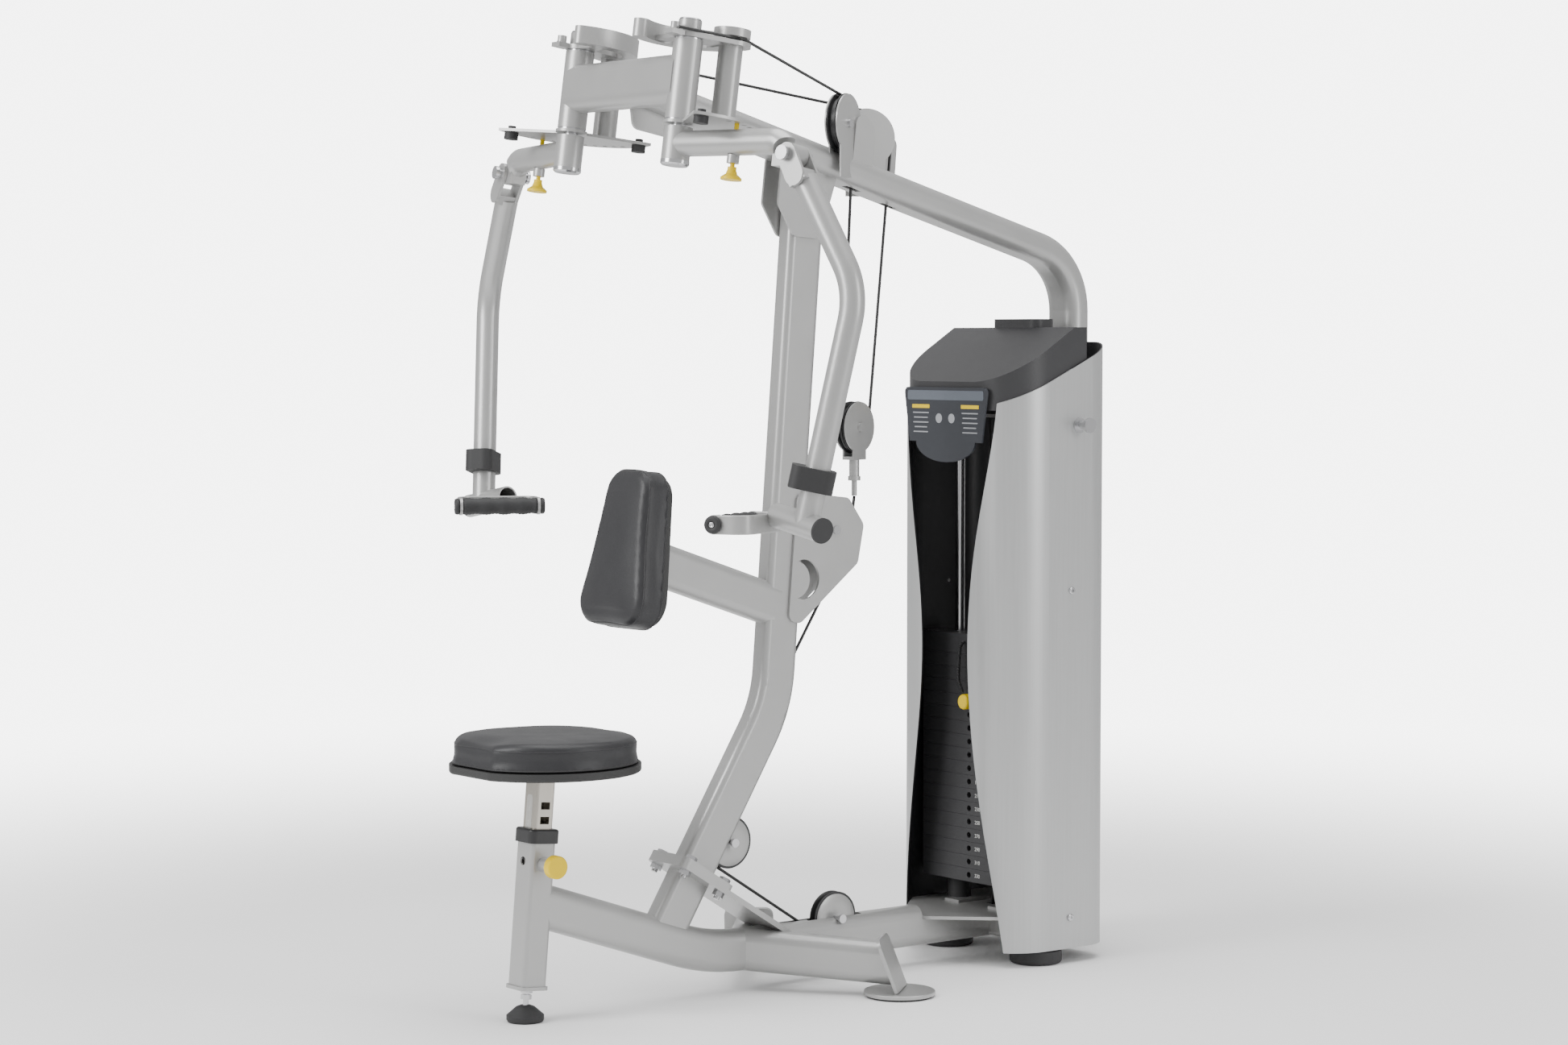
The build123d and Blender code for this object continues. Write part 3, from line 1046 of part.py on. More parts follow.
def tangent_corner(frame, r, sense, before, after):
    """Corner of a cable round a pulley: where its lines from `before` and to `after` meet.

    sense is 1 when the cable goes round the frame's z axis by the right-hand rule, and -1 the other way.
    """
    p, q = frame.to_local_coords(before), frame.to_local_coords(after)
    come = atan2(-p.Y, -p.X) - sense * asin(r / Vector(p.X, p.Y, 0).length)
    leave = atan2(-q.Y, -q.X) + sense * asin(r / Vector(q.X, q.Y, 0).length)
    ax, ay, bx, by = cos(come), sin(come), cos(leave), sin(leave)
    step = ((q.X - p.X) * by - (q.Y - p.Y) * bx) / (ax * by - ay * bx)
    return frame.from_local_coords(Vector(p.X + ax * step, p.Y + ay * step, 0))


def cable_corners(start, wraps, end):
    """Corners of a cable from start to end round (frame, radius, sense) pulleys."""
    corners = [frame.origin for frame, r, sense in wraps]
    for _ in range(8):
        line = [start, *corners, end]
        corners = [tangent_corner(*wrap, line[k], line[k + 2]) for k, wrap in enumerate(wraps)]
    return [start, *corners, end]


def swept_cable(points, radii, r):
    path = FilletPolyline(*points, radius=radii)
    start = Plane(origin=path @ 0, z_dir=path % 0)
    return sweep(start * Circle(r), path=path)


def flat_frame(place):
    """Frame of a pulley in the middle plane: x is +Y, y is +Z and z is +X."""
    return Plane(origin=(0, *place), x_dir=(0, 1, 0), z_dir=(1, 0, 0))


def build_lift_cable():
    """Cable from the floating pulley's adjuster, round the pulleys in the middle plane, to the head plate."""
    start = at(FLOAT[1], FLOAT[2] - SMALL_R - ADJUSTER - 0.7)
    back_y = TOWER_TOP[0] + SMALL_GROOVE
    top_z = TOWER_TOP[1] + SMALL_GROOVE
    low_turn = at(back_y, BASE[1] - SMALL_GROOVE)
    end = at(STACK_Y, STACK_Z + PLATES * PLATE_PITCH + HEAD_PLATE_H + 26)
    wraps = [(flat_frame(MID), MID_GROOVE, -1), (flat_frame(LOW), SMALL_GROOVE, 1), (flat_frame(BASE), SMALL_GROOVE, 1)]
    front = cable_corners(start, wraps, low_turn)
    points = front + [at(back_y, top_z), at(STACK_Y, top_z), end]
    radii = [MID_GROOVE, SMALL_GROOVE, SMALL_GROOVE, TINY_GROOVE, SMALL_GROOVE - 0.2, SMALL_GROOVE - 0.2]
    return swept_cable(points, radii, CABLE_R - 0.2)


def float_low(side):
    """Point just past the floating pulley's lowest groove point, on one side's cable."""
    frame = upright_frame(FLOAT, FLOAT_TURN)
    along = frame.x_dir if frame.x_dir.Y < 0 else frame.x_dir * -1
    return frame.origin - Vector(0, 0, SMALL_GROOVE) - along * 8 * side


def arm_cable_corners(side):
    """Corners of one cam's cable: clamp, drum, top pulley, floating pulley."""
    ax, ay = ANCHOR
    height = CAM_Z + 0.5 * DRUM_H - CABLE_R - 0.5
    start = in_pivot(ax + 13, ay, height)
    middle = in_pivot(*DRUM, height)
    drum = Plane(origin=(side * middle.X, middle.Y, middle.Z), x_dir=(1, 0, 0), z_dir=pivot_axis)
    down = upright_frame(FLOAT, FLOAT_TURN)
    wraps = [(drum, DRUM_R - CABLE_R, side), (top_pulley_frame(side), BIG_GROOVE, -1), (down, SMALL_GROOVE, side)]
    return cable_corners(Vector(side * start.X, start.Y, start.Z), wraps, float_low(side))


def line_at_height(points, z):
    """Place on the cable's fall from the top pulley to the floating pulley."""
    high, low = points[2], points[3]
    return high + (low - high) * ((high.Z - z) / (high.Z - low.Z))


def build_arm_cable():
    right, left = arm_cable_corners(1), arm_cable_corners(-1)
    points = right[:4] + left[3::-1]
    radii = [DRUM_R - CABLE_R, BIG_GROOVE, SMALL_GROOVE - 0.5, SMALL_GROOVE - 0.5, BIG_GROOVE, DRUM_R - CABLE_R]
    return swept_cable(points, radii, CABLE_R - 0.5)


def build_lanyard():
    """Fat tube round the curly lanyard, from the head plate down to the weight pin's knob."""
    z = STACK_Z + (PLATES - LIFTED + 0.5) * PLATE_PITCH
    top = STACK_Z + PLATES * PLATE_PITCH + HEAD_PLATE_H * 0.5
    y = STACK_Y - PLATE_D / 2 - 8
    points = [(-12, y + 7.9, top), (-12, y - 4, top), (-13, y - 6, top - 50), (-12, y - 8, z + 40), (-3, y - 4, z + 15)]
    path = FilletPolyline(*[Vector(*p) for p in points], radius=[6, 60, 30])
    start = Plane(origin=path @ 0, z_dir=path % 0)
    return sweep(start * Circle(4.0), path=path)


# ---------------------------------------------------------------- all parts
def build_all():
    parts["base_beam"] = build_base_beam()
    parts["cross_feet"] = build_cross_feet()
    parts["splice_plates"] = build_splice()
    parts["column"] = build_column()
    parts["pad_arm"] = build_pad_arm()
    parts["gusset_plates"] = build_gussets()
    parts["top_tube"] = build_top_tube()
    parts["head_frame"] = build_head_frame()
    parts["pulley_mounts"] = build_pulley_mounts()
    parts["seat_upright"] = build_seat_upright()
    parts["seat_collar"] = build_collar()
    parts["steel_fittings"] = build_fittings()
    parts["rubber_pads"] = build_rubber()
    parts["pad_board"] = build_pad_board()
    parts["pad_cushion"] = build_pad_cushion()
    parts["seat_post"] = build_seat_post()
    parts["seat_board"] = build_seat_board()
    parts["seat_cushion"] = build_seat_cushion()
    parts["seat_pin"] = build_seat_pin()
    parts["tower_base"] = build_tower_base()
    parts["tower_head"] = build_tower_head()
    parts["guide_rods"] = build_guide_rods()
    shroud = build_shroud()
    parts["shroud_right"] = shroud
    parts["shroud_left"] = mirrored(shroud)
    parts["tower_cap"] = build_cap()
    parts["placard"] = build_placard()
    resting = PLATES - LIFTED
    parts["resting_plates"] = group(*[stack_plate(k) for k in range(resting)])
    parts["lifted_plates"] = group(*[stack_plate(k) for k in range(resting, PLATES)])
    parts["head_plate"] = build_head_plate()
    parts["weight_pin"] = build_weight_pin()
    parts["pin_lanyard"] = build_lanyard()
    sided = {
        "cam": build_cam(), "cam_bumpers": build_cam_bumpers(), "pivot_pins": build_pivot_pins(),
        "swing_arm": build_swing_arm(), "range_pin": build_range_pin(), "lower_arm": build_lower_arm(),
        "rubber_stops": build_rubber_stops(), "handle_bracket": build_handle_bracket(), "grip": build_grip(),
    }
    for name, shape in sided.items():
        parts[name + "_right"] = shape
        parts[name + "_left"] = mirrored(shape)
    parts["top_pulley_right"] = top_pulley_frame(1) * pulley_body(BIG_R, BIG_GROOVE)
    parts["top_pulley_left"] = top_pulley_frame(-1) * pulley_body(BIG_R, BIG_GROOVE)
    parts["floating_pulley"] = upright_frame(FLOAT, FLOAT_TURN) * pulley_body(SMALL_R, SMALL_GROOVE)
    parts["floating_bracket"] = build_floating_bracket()
    parts["mid_pulley"] = middle_pulley(MID, MID_R, MID_GROOVE)
    parts["column_pulley"] = middle_pulley(LOW, SMALL_R, SMALL_GROOVE)
    parts["base_pulley"] = middle_pulley(BASE, SMALL_R, SMALL_GROOVE)
    parts["tower_low_pulley"] = middle_pulley(TOWER_LOW, TINY_R, TINY_GROOVE)
    parts["tower_top_pulley"] = middle_pulley(TOWER_TOP, SMALL_R, SMALL_GROOVE)
    parts["arm_cable"] = build_arm_cable()
    parts["lift_cable"] = build_lift_cable()


build_all()
whole = Compound(children=[s for shape in parts.values() for s in shape.solids()]).bounding_box()
SHIFT_Y = -0.5 * (whole.min.Y + whole.max.Y)
os.makedirs("parts", exist_ok=True)
for name, shape in parts.items():
    export_step(Pos(0, SHIFT_Y, 0) * Compound(children=list(shape.solids())), f"parts/{name}.step")
print("origin moved by", round(SHIFT_Y, 3), "in Y; size", whole.size)
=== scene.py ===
import bpy
import json
from bpy.props import FloatProperty, FloatVectorProperty, PointerProperty
from math import cos, pi, radians, sin, tan, tau
from mathutils import Matrix, Vector
from mathutils.bvhtree import BVHTree


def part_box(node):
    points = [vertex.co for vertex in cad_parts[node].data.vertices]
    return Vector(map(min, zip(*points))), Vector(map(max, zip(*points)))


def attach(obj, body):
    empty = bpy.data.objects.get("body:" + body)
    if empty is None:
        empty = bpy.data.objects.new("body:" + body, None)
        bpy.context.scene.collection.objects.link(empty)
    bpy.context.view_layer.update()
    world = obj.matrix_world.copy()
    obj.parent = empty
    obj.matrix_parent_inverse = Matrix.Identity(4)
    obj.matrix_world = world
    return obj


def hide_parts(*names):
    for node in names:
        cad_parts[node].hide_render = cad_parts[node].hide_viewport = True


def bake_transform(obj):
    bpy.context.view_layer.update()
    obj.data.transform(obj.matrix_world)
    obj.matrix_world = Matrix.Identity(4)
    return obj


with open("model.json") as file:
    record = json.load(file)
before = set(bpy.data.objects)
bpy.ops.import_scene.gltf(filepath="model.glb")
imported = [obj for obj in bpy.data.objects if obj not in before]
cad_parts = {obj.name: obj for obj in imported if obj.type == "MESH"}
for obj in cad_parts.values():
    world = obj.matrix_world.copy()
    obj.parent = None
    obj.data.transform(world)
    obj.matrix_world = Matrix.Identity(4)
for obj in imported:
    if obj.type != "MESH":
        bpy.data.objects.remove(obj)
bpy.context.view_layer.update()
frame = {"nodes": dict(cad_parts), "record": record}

bl_info = {
    "name": "Pec fly machine",
    "version": (1, 0, 0),
    "blender": (4, 5, 0),
    "location": "3D View > Sidebar > Pec fly machine",
    "description": "Dresses a pec fly machine's frame with upholstery, cables, grips, finishes and a studio",
    "category": "Object",
}

NODES = frame["nodes"]
BACK = -422.496          # the frame's origin sits this far behind the layout's base line, in millimetres
SEAT_LEAN = radians(4.9)
PIVOT_LEAN = radians(8.0)
PAD_LEAN = radians(11.0)
RAY_START = 0.03         # how far outside a cover the search for its surface starts, in metres


def at(x, y, z):
    """A place given in layout millimetres, in the frame's metres."""
    return Vector((x, y + BACK, z)) / 1000


# ------------------------------------------------------------------ settings
class MachineFinish(bpy.types.PropertyGroup):
    silver: FloatVectorProperty(name="Frame silver", description="Colour of the powder-coated frame",
                                subtype="COLOR", size=3, min=0, max=1, default=(0.40, 0.40, 0.395))
    vinyl: FloatVectorProperty(name="Upholstery", description="Colour of the seat's and pad's vinyl",
                               subtype="COLOR", size=3, min=0, max=1, default=(0.018, 0.018, 0.020))
    yellow: FloatVectorProperty(name="Knob yellow", description="Colour of the adjustment knobs",
                                subtype="COLOR", size=3, min=0, max=1, default=(0.80, 0.56, 0.0))
    grain: FloatProperty(name="Coat grain", description="Height of the powder coat's grain",
                         subtype="DISTANCE", unit="LENGTH", min=0, max=0.001, default=0.00006)


class MachineShape(bpy.types.PropertyGroup):
    seat_cap: FloatProperty(name="Seat swell", description="Most that the seat's cover swells",
                            subtype="DISTANCE", unit="LENGTH", min=0, max=0.03, default=0.007)
    pad_cap: FloatProperty(name="Pad swell", description="Most that the back pad's cover swells",
                           subtype="DISTANCE", unit="LENGTH", min=0, max=0.03, default=0.007)
    cable: FloatProperty(name="Cable thickness", description="Diameter of the machine's cables",
                         subtype="DISTANCE", unit="LENGTH", min=0.002, max=0.01, default=0.0055)
    seam: FloatProperty(name="Seam thickness", description="Diameter of the upholstery's seam cord",
                        subtype="DISTANCE", unit="LENGTH", min=0.0005, max=0.005, default=0.0022)


class MachineStudio(bpy.types.PropertyGroup):
    azimuth: FloatProperty(name="Camera azimuth", description="Direction the camera looks from",
                           subtype="ANGLE", unit="ROTATION", default=radians(52.0))
    elevation: FloatProperty(name="Camera elevation", description="Angle above the horizon",
                             subtype="ANGLE", unit="ROTATION", default=radians(3.09))
    lens: FloatProperty(name="Lens", description="Focal length on a 36 mm sensor", subtype="DISTANCE_CAMERA",
                        unit="CAMERA", min=20, max=300, default=77.9)
    floor: FloatVectorProperty(name="Floor", description="Colour of the studio floor", subtype="COLOR",
                               size=3, min=0, max=1, default=(0.93, 0.93, 0.93))


def finish_of():
    return bpy.context.scene.machine_finish


def shape_of():
    return bpy.context.scene.machine_shape


# ------------------------------------------------------------------ shader helpers
def new_group(name, inputs, outputs):
    """An empty shader group with float inputs {name: default} and outputs."""
    group = bpy.data.node_groups.new(name, "ShaderNodeTree")
    for label, value in inputs.items():
        socket = group.interface.new_socket(name=label, in_out="INPUT", socket_type="NodeSocketFloat")
        socket.default_value = value
    for label in outputs:
        group.interface.new_socket(name=label, in_out="OUTPUT", socket_type="NodeSocketFloat")
    return group, group.nodes.new("NodeGroupInput"), group.nodes.new("NodeGroupOutput")


def coat_grain_group():
    """Fine grain for paint, plastic and rubber: Tone for the colour and Height for the bump."""
    group, given, out = new_group("coat_grain", {"Scale": 900.0, "Mottle": 14.0}, ("Tone", "Height", "Marks"))
    place = group.nodes.new("ShaderNodeTexCoord")
    fine = group.nodes.new("ShaderNodeTexNoise")
    fine.inputs["Detail"].default_value = 2.0
    broad = group.nodes.new("ShaderNodeTexNoise")
    broad.inputs["Detail"].default_value = 4.0
    broad.inputs["Roughness"].default_value = 0.6
    link = group.links.new
    for noise, scale in ((fine, "Scale"), (broad, "Mottle")):
        link(place.outputs["Object"], noise.inputs["Vector"])
        link(given.outputs[scale], noise.inputs["Scale"])
    mixed = group.nodes.new("ShaderNodeMath")
    mixed.operation = "MULTIPLY_ADD"
    mixed.inputs[1].default_value = 0.45
    link(fine.outputs["Fac"], mixed.inputs[0])
    half = group.nodes.new("ShaderNodeMath")
    half.operation = "MULTIPLY"
    half.inputs[1].default_value = 0.55
    link(broad.outputs["Fac"], half.inputs[0])
    link(half.outputs[0], mixed.inputs[2])
    link(mixed.outputs[0], out.inputs["Tone"])
    link(fine.outputs["Fac"], out.inputs["Height"])
    link(broad.outputs["Fac"], out.inputs["Marks"])
    return group


def hide_grain_group():
    """Pebbled vinyl grain: cells for the bump and a soft tone."""
    group, given, out = new_group("vinyl_grain", {"Scale": 700.0}, ("Tone", "Height"))
    place = group.nodes.new("ShaderNodeTexCoord")
    cells = group.nodes.new("ShaderNodeTexVoronoi")
    cells.feature = "F1"
    waves = group.nodes.new("ShaderNodeTexNoise")
    waves.inputs["Scale"].default_value = 22.0
    waves.inputs["Detail"].default_value = 3.0
    link = group.links.new
    link(place.outputs["Object"], cells.inputs["Vector"])
    link(given.outputs["Scale"], cells.inputs["Scale"])
    link(place.outputs["Object"], waves.inputs["Vector"])
    link(cells.outputs["Distance"], out.inputs["Height"])
    link(waves.outputs["Fac"], out.inputs["Tone"])
    return group


def brushed_group():
    """Long fine lines along Z, for sheet metal and plated bar."""
    group, given, out = new_group("brushed_lines", {"Scale": 240.0, "Stretch": 0.02}, ("Tone", "Height"))
    place = group.nodes.new("ShaderNodeTexCoord")
    squeeze = group.nodes.new("ShaderNodeVectorMath")
    squeeze.operation = "MULTIPLY"
    factors = group.nodes.new("ShaderNodeCombineXYZ")
    factors.inputs["X"].default_value = 1.0
    factors.inputs["Y"].default_value = 1.0
    lines = group.nodes.new("ShaderNodeTexNoise")
    lines.inputs["Detail"].default_value = 3.0
    link = group.links.new
    link(given.outputs["Stretch"], factors.inputs["Z"])
    link(place.outputs["Object"], squeeze.inputs[0])
    link(factors.outputs[0], squeeze.inputs[1])
    link(squeeze.outputs[0], lines.inputs["Vector"])
    link(given.outputs["Scale"], lines.inputs["Scale"])
    link(lines.outputs["Fac"], out.inputs["Tone"])
    link(lines.outputs["Fac"], out.inputs["Height"])
    return group


GROUPS = {}


def effect(name):
    makers = {"coat_grain": coat_grain_group, "vinyl_grain": hide_grain_group, "brushed_lines": brushed_group}
    if name not in GROUPS:
        GROUPS[name] = makers[name]()
    return GROUPS[name]


def surface(name, colour, rough, metallic=0.0, effect_name="coat_grain", tone=0.12, rough_spread=0.06,
            height=0.00006, coat=0.0, specular=0.5, **settings):
    """A material whose colour, roughness and bump all come from one of the shared groups."""
    material = bpy.data.materials.new(name)
    material.use_nodes = True
    nodes, link = material.node_tree.nodes, material.node_tree.links.new
    shader = nodes["Principled BSDF"]
    shader.inputs["Metallic"].default_value = metallic
    shader.inputs["Coat Weight"].default_value = coat
    shader.inputs["Coat Roughness"].default_value = 0.15
    shader.inputs["Specular IOR Level"].default_value = specular
    group = nodes.new("ShaderNodeGroup")
    group.node_tree = effect(effect_name)
    for label, value in settings.items():
        group.inputs[label].default_value = value
    shade = nodes.new("ShaderNodeMix")
    shade.data_type = "RGBA"
    low = [max(0.0, c * (1 - tone)) for c in colour] + [1]
    high = [min(1.0, c * (1 + tone)) for c in colour] + [1]
    shade.inputs["A"].default_value = low
    shade.inputs["B"].default_value = high
    link(group.outputs["Tone"], shade.inputs["Factor"])
    link(shade.outputs["Result"], shader.inputs["Base Color"])
    gloss = nodes.new("ShaderNodeMapRange")
    gloss.inputs["To Min"].default_value = rough - rough_spread
    gloss.inputs["To Max"].default_value = rough + rough_spread
    link(group.outputs["Marks" if effect_name == "coat_grain" else "Tone"], gloss.inputs["Value"])
    link(gloss.outputs["Result"], shader.inputs["Roughness"])
    bump = nodes.new("ShaderNodeBump")
    bump.inputs["Strength"].default_value = 0.6
    bump.inputs["Distance"].default_value = height
    link(group.outputs["Height"], bump.inputs["Height"])
    link(bump.outputs["Normal"], shader.inputs["Normal"])
    return material


def shroud_sheet(name, colour):
    """Brushed sheet whose inner side, which faces the weight tower's middle, is painted near-black and
    non-metallic as painted shade.
    """
    material = surface(name, colour, 0.40, 0.75, "brushed_lines", 0.07, 0.05, 0.00003)
    nodes, link = material.node_tree.nodes, material.node_tree.links.new
    shader = nodes["Principled BSDF"]
    spot = nodes.new("ShaderNodeTexCoord")
    tower_middle = at(0, 916, 0)
    outward = nodes.new("ShaderNodeVectorMath")
    outward.operation = "SUBTRACT"
    outward.inputs[1].default_value = tower_middle
    flat = nodes.new("ShaderNodeVectorMath")
    flat.operation = "MULTIPLY"
    flat.inputs[1].default_value = (1, 1, 0)
    facing = nodes.new("ShaderNodeVectorMath")
    facing.operation = "DOT_PRODUCT"
    inside = nodes.new("ShaderNodeMath")
    inside.operation = "LESS_THAN"
    inside.inputs[1].default_value = -0.01
    link(spot.outputs["Object"], outward.inputs[0])
    link(outward.outputs[0], flat.inputs[0])
    link(flat.outputs[0], facing.inputs[0])
    link(spot.outputs["Normal"], facing.inputs[1])
    link(facing.outputs["Value"], inside.inputs[0])
    # Painted shade: faces turned toward the tower's middle get a near-black colour and lose their metal, in
    # place of the shade inside the shroud
    inner_shade = nodes.new("ShaderNodeMix")
    inner_shade.data_type = "RGBA"
    inner_shade.inputs["B"].default_value = (0.025, 0.025, 0.027, 1)
    link(inside.outputs[0], inner_shade.inputs["Factor"])
    link(shader.inputs["Base Color"].links[0].from_socket, inner_shade.inputs["A"])
    link(inner_shade.outputs["Result"], shader.inputs["Base Color"])
    metal = nodes.new("ShaderNodeMapRange")
    metal.inputs["To Min"].default_value = 0.75
    metal.inputs["To Max"].default_value = 0.0
    link(inside.outputs[0], metal.inputs["Value"])
    link(metal.outputs["Result"], shader.inputs["Metallic"])
    return material


def make_materials():
    f = finish_of()
    made = {
        "silver_paint": surface("silver_paint", f.silver, 0.36, 0.55, tone=0.05, height=f.grain, coat=0.25,
                                Scale=1400.0),
        "nickel_plate": surface("nickel_plate", (0.50, 0.47, 0.42), 0.25, 1.0, "brushed_lines", 0.10, 0.05,
                                0.00002),
        "chrome_steel": surface("chrome_steel", (0.56, 0.56, 0.57), 0.20, 1.0, tone=0.04, rough_spread=0.05,
                                height=0.00001),
        "stainless": surface("stainless", (0.62, 0.61, 0.58), 0.28, 1.0, "brushed_lines", 0.06, 0.06,
                             0.00002),
        "black_rubber": surface("black_rubber", (0.020, 0.020, 0.021), 0.62, tone=0.25, height=0.00012,
                                Scale=1100.0),
        "black_plastic": surface("black_plastic", (0.018, 0.018, 0.019), 0.38, tone=0.2, height=0.00005),
        "black_steel": surface("black_steel", (0.034, 0.034, 0.036), 0.42, 0.2, tone=0.25, height=0.00010,
                               Scale=700.0),
        "charcoal_vinyl": surface("charcoal_vinyl", f.vinyl, 0.44, 0.0, "vinyl_grain", 0.12, 0.07, 0.00016,
                                  specular=0.45),
        "black_board": surface("black_board", (0.020, 0.020, 0.020), 0.55, tone=0.2, height=0.00012,
                               Scale=500.0),
        "yellow_plastic": surface("yellow_plastic", f.yellow, 0.38, tone=0.05, height=0.00004, specular=0.3),
        "silver_sheet": shroud_sheet("silver_sheet", (0.47, 0.475, 0.475)),
        "charcoal_plastic": surface("charcoal_plastic", (0.026, 0.026, 0.028), 0.42, tone=0.15,
                                    height=0.00018, Scale=1200.0),
        "printed_panel": surface("printed_panel", (0.028, 0.031, 0.038), 0.35, tone=0.1, height=0.00002),
        "panel_band": surface("panel_band", (0.11, 0.125, 0.15), 0.38, tone=0.08, height=0.00002),
        "panel_ink": surface("panel_ink", (0.33, 0.34, 0.36), 0.45, tone=0.06, height=0.00001),
        "cable_sheath": surface("cable_sheath", (0.015, 0.015, 0.015), 0.30, tone=0.2, height=0.00006,
                                Scale=1600.0),
        "number_ink": surface("number_ink", (0.70, 0.70, 0.68), 0.5, tone=0.05, height=0.00001),
    }
    return made


MATERIALS = {}


def paint(obj, name):
    """Give an object its material as its only slot."""
    obj.data.materials.clear()
    obj.data.materials.append(MATERIALS[name])


# ------------------------------------------------------------------ mesh helpers
def mesh_object(name, verts, faces, smooth=True):
    mesh = bpy.data.meshes.new(name)
    mesh.from_pydata([tuple(v) for v in verts], [], faces)
    mesh.validate()
    if smooth:
        mesh.polygons.foreach_set("use_smooth", [True] * len(mesh.polygons))
    obj = bpy.data.objects.new(name, mesh)
    bpy.context.scene.collection.objects.link(obj)
    return obj


def frames_along(points):
    """Tangent, side and up vectors at each point of a line, turned as little as possible."""
    tangents = []
    for k, p in enumerate(points):
        before, after = points[max(k - 1, 0)], points[min(k + 1, len(points) - 1)]
        tangents.append((after - before).normalized())
    side = tangents[0].orthogonal().normalized()
    rows = []
    for t in tangents:
        side = (side - t * side.dot(t)).normalized()
        rows.append((t, side, t.cross(side)))
    return rows


def tube(name, points, radius, around=14, closed=False):
    """A round bar along a line of points, capped at its ends unless closed."""
    verts, faces = [], []
    rows = frames_along(points)
    for p, (t, u, v) in zip(points, rows):
        for j in range(around):
            a = tau * j / around
            verts.append(p + u * (radius * cos(a)) + v * (radius * sin(a)))
    n = len(points)
    spans = n if closed else n - 1
    for k in range(spans):
        a, b = k * around, ((k + 1) % n) * around
        for j in range(around):
            m = (j + 1) % around
            faces.append((a + j, a + m, b + m, b + j))
    if not closed:
        faces.append(tuple(range(around - 1, -1, -1)))
        faces.append(tuple((n - 1) * around + j for j in range(around)))
    return mesh_object(name, verts, faces)


def lathe(name, profile, place, around=40):
    """Turn (radius, height) pairs about the z axis of a 4x4 place."""
    verts, faces = [], []
    for r, h in profile:
        for j in range(around):
            a = tau * j / around
            verts.append(place @ Vector((r * cos(a), r * sin(a), h)))
    for k in range(len(profile) - 1):
        for j in range(around):
            m = (j + 1) % around
            faces.append((k * around + j, k * around + m, (k + 1) * around + m, (k + 1) * around + j))
    faces.append(tuple(range(around - 1, -1, -1)))
    faces.append(tuple((len(profile) - 1) * around + j for j in range(around)))
    return mesh_object(name, verts, faces)


def aimed(origin, direction, side=None):
    """A 4x4 place whose z axis points along direction."""
    z = Vector(direction).normalized()
    x = Vector(side) if side else z.orthogonal()
    x = (x - z * x.dot(z)).normalized()
    y = z.cross(x)
    place = Matrix((x, y, z)).transposed().to_4x4()
    place.translation = origin
    return place


def plate(name, outline, place, thick):
    """A flat plate: an outline in the place's xy plane, raised by thick."""
    count = len(outline)
    verts = [place @ Vector((x, y, h)) for h in (0.0, thick) for x, y in outline]
    faces = [tuple(range(count - 1, -1, -1)), tuple(range(count, 2 * count))]
    for k in range(count):
        m = (k + 1) % count
        faces.append((k, m, count + m, count + k))
    return mesh_object(name, verts, faces, smooth=False)


def rounded_corners(width, height, radius, steps=5):
    pts = []
    for cx, cy, start in ((1, 1, 0), (-1, 1, 90), (-1, -1, 180), (1, -1, 270)):
        for k in range(steps + 1):
            a = radians(start + 90 * k / steps)
            pts.append((cx * (width / 2 - radius) + radius * cos(a),
                        cy * (height / 2 - radius) + radius * sin(a)))
    return pts


def baked(obj):
    """The object's mesh with its modifiers applied."""
    graph = bpy.context.evaluated_depsgraph_get()
    mesh = bpy.data.meshes.new_from_object(obj.evaluated_get(graph), depsgraph=graph)
    obj.modifiers.clear()
    obj.data = mesh
    return obj


# ------------------------------------------------------------------ upholstery
COVER_SHRINK = 0.985     # a cover's size before it swells, against its CAD cushion
COVER_VOXEL = 0.005      # spacing of the cover's points before the last subdivision, in metres
COVER_PRESSURE = 4.0     # padding's pressure on the cloth
COVER_FRAMES = 20        # frames the cloth is given to swell in
HELD_EDGE = 0.016        # height over which the moves fade to none at the board, in metres


def stuffed(name, node, cap, rest_axis, rest_at):
    """A cushion cover swollen by cloth pressure from a CAD cushion's own mesh."""
    source = NODES[node]
    low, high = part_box(node)
    middle = (Vector(low) + Vector(high)) / 2
    obj = bpy.data.objects.new(name, source.data.copy())
    bpy.context.scene.collection.objects.link(obj)
    obj.data.materials.clear()
    for v in obj.data.vertices:
        v.co = middle + (v.co - middle) * COVER_SHRINK
    remesh = obj.modifiers.new("even", "REMESH")
    remesh.mode = "VOXEL"
    remesh.voxel_size = COVER_VOXEL
    remesh.use_smooth_shade = True
    baked(obj)
    start = [v.co.copy() for v in obj.data.vertices]
    cloth = obj.modifiers.new("cover", "CLOTH")
    cloth.settings.use_pressure = True
    cloth.settings.uniform_pressure_force = COVER_PRESSURE
    cloth.settings.effector_weights.gravity = 0.0
    cloth.settings.quality = 5
    cloth.settings.tension_stiffness = 30
    cloth.settings.compression_stiffness = 30
    cloth.settings.shear_stiffness = 10
    cloth.point_cache.frame_end = COVER_FRAMES
    for number in range(1, COVER_FRAMES + 1):
        bpy.context.scene.frame_set(number)
    baked(obj)
    bpy.context.scene.frame_set(1)
    moves = even_moves(obj.data, [v.co - s for v, s in zip(obj.data.vertices, start)], cap)
    for v, s, move in zip(obj.data.vertices, start, moves):
        above = (s - rest_at).dot(rest_axis)
        keep = min(1.0, max(0.0, above / HELD_EDGE))
        v.co = s + move * keep
    finer = obj.modifiers.new("finer", "SUBSURF")
    finer.levels = 1
    finer.render_levels = 1
    baked(obj)
    obj.data.polygons.foreach_set("use_smooth", [True] * len(obj.data.polygons))
    return obj


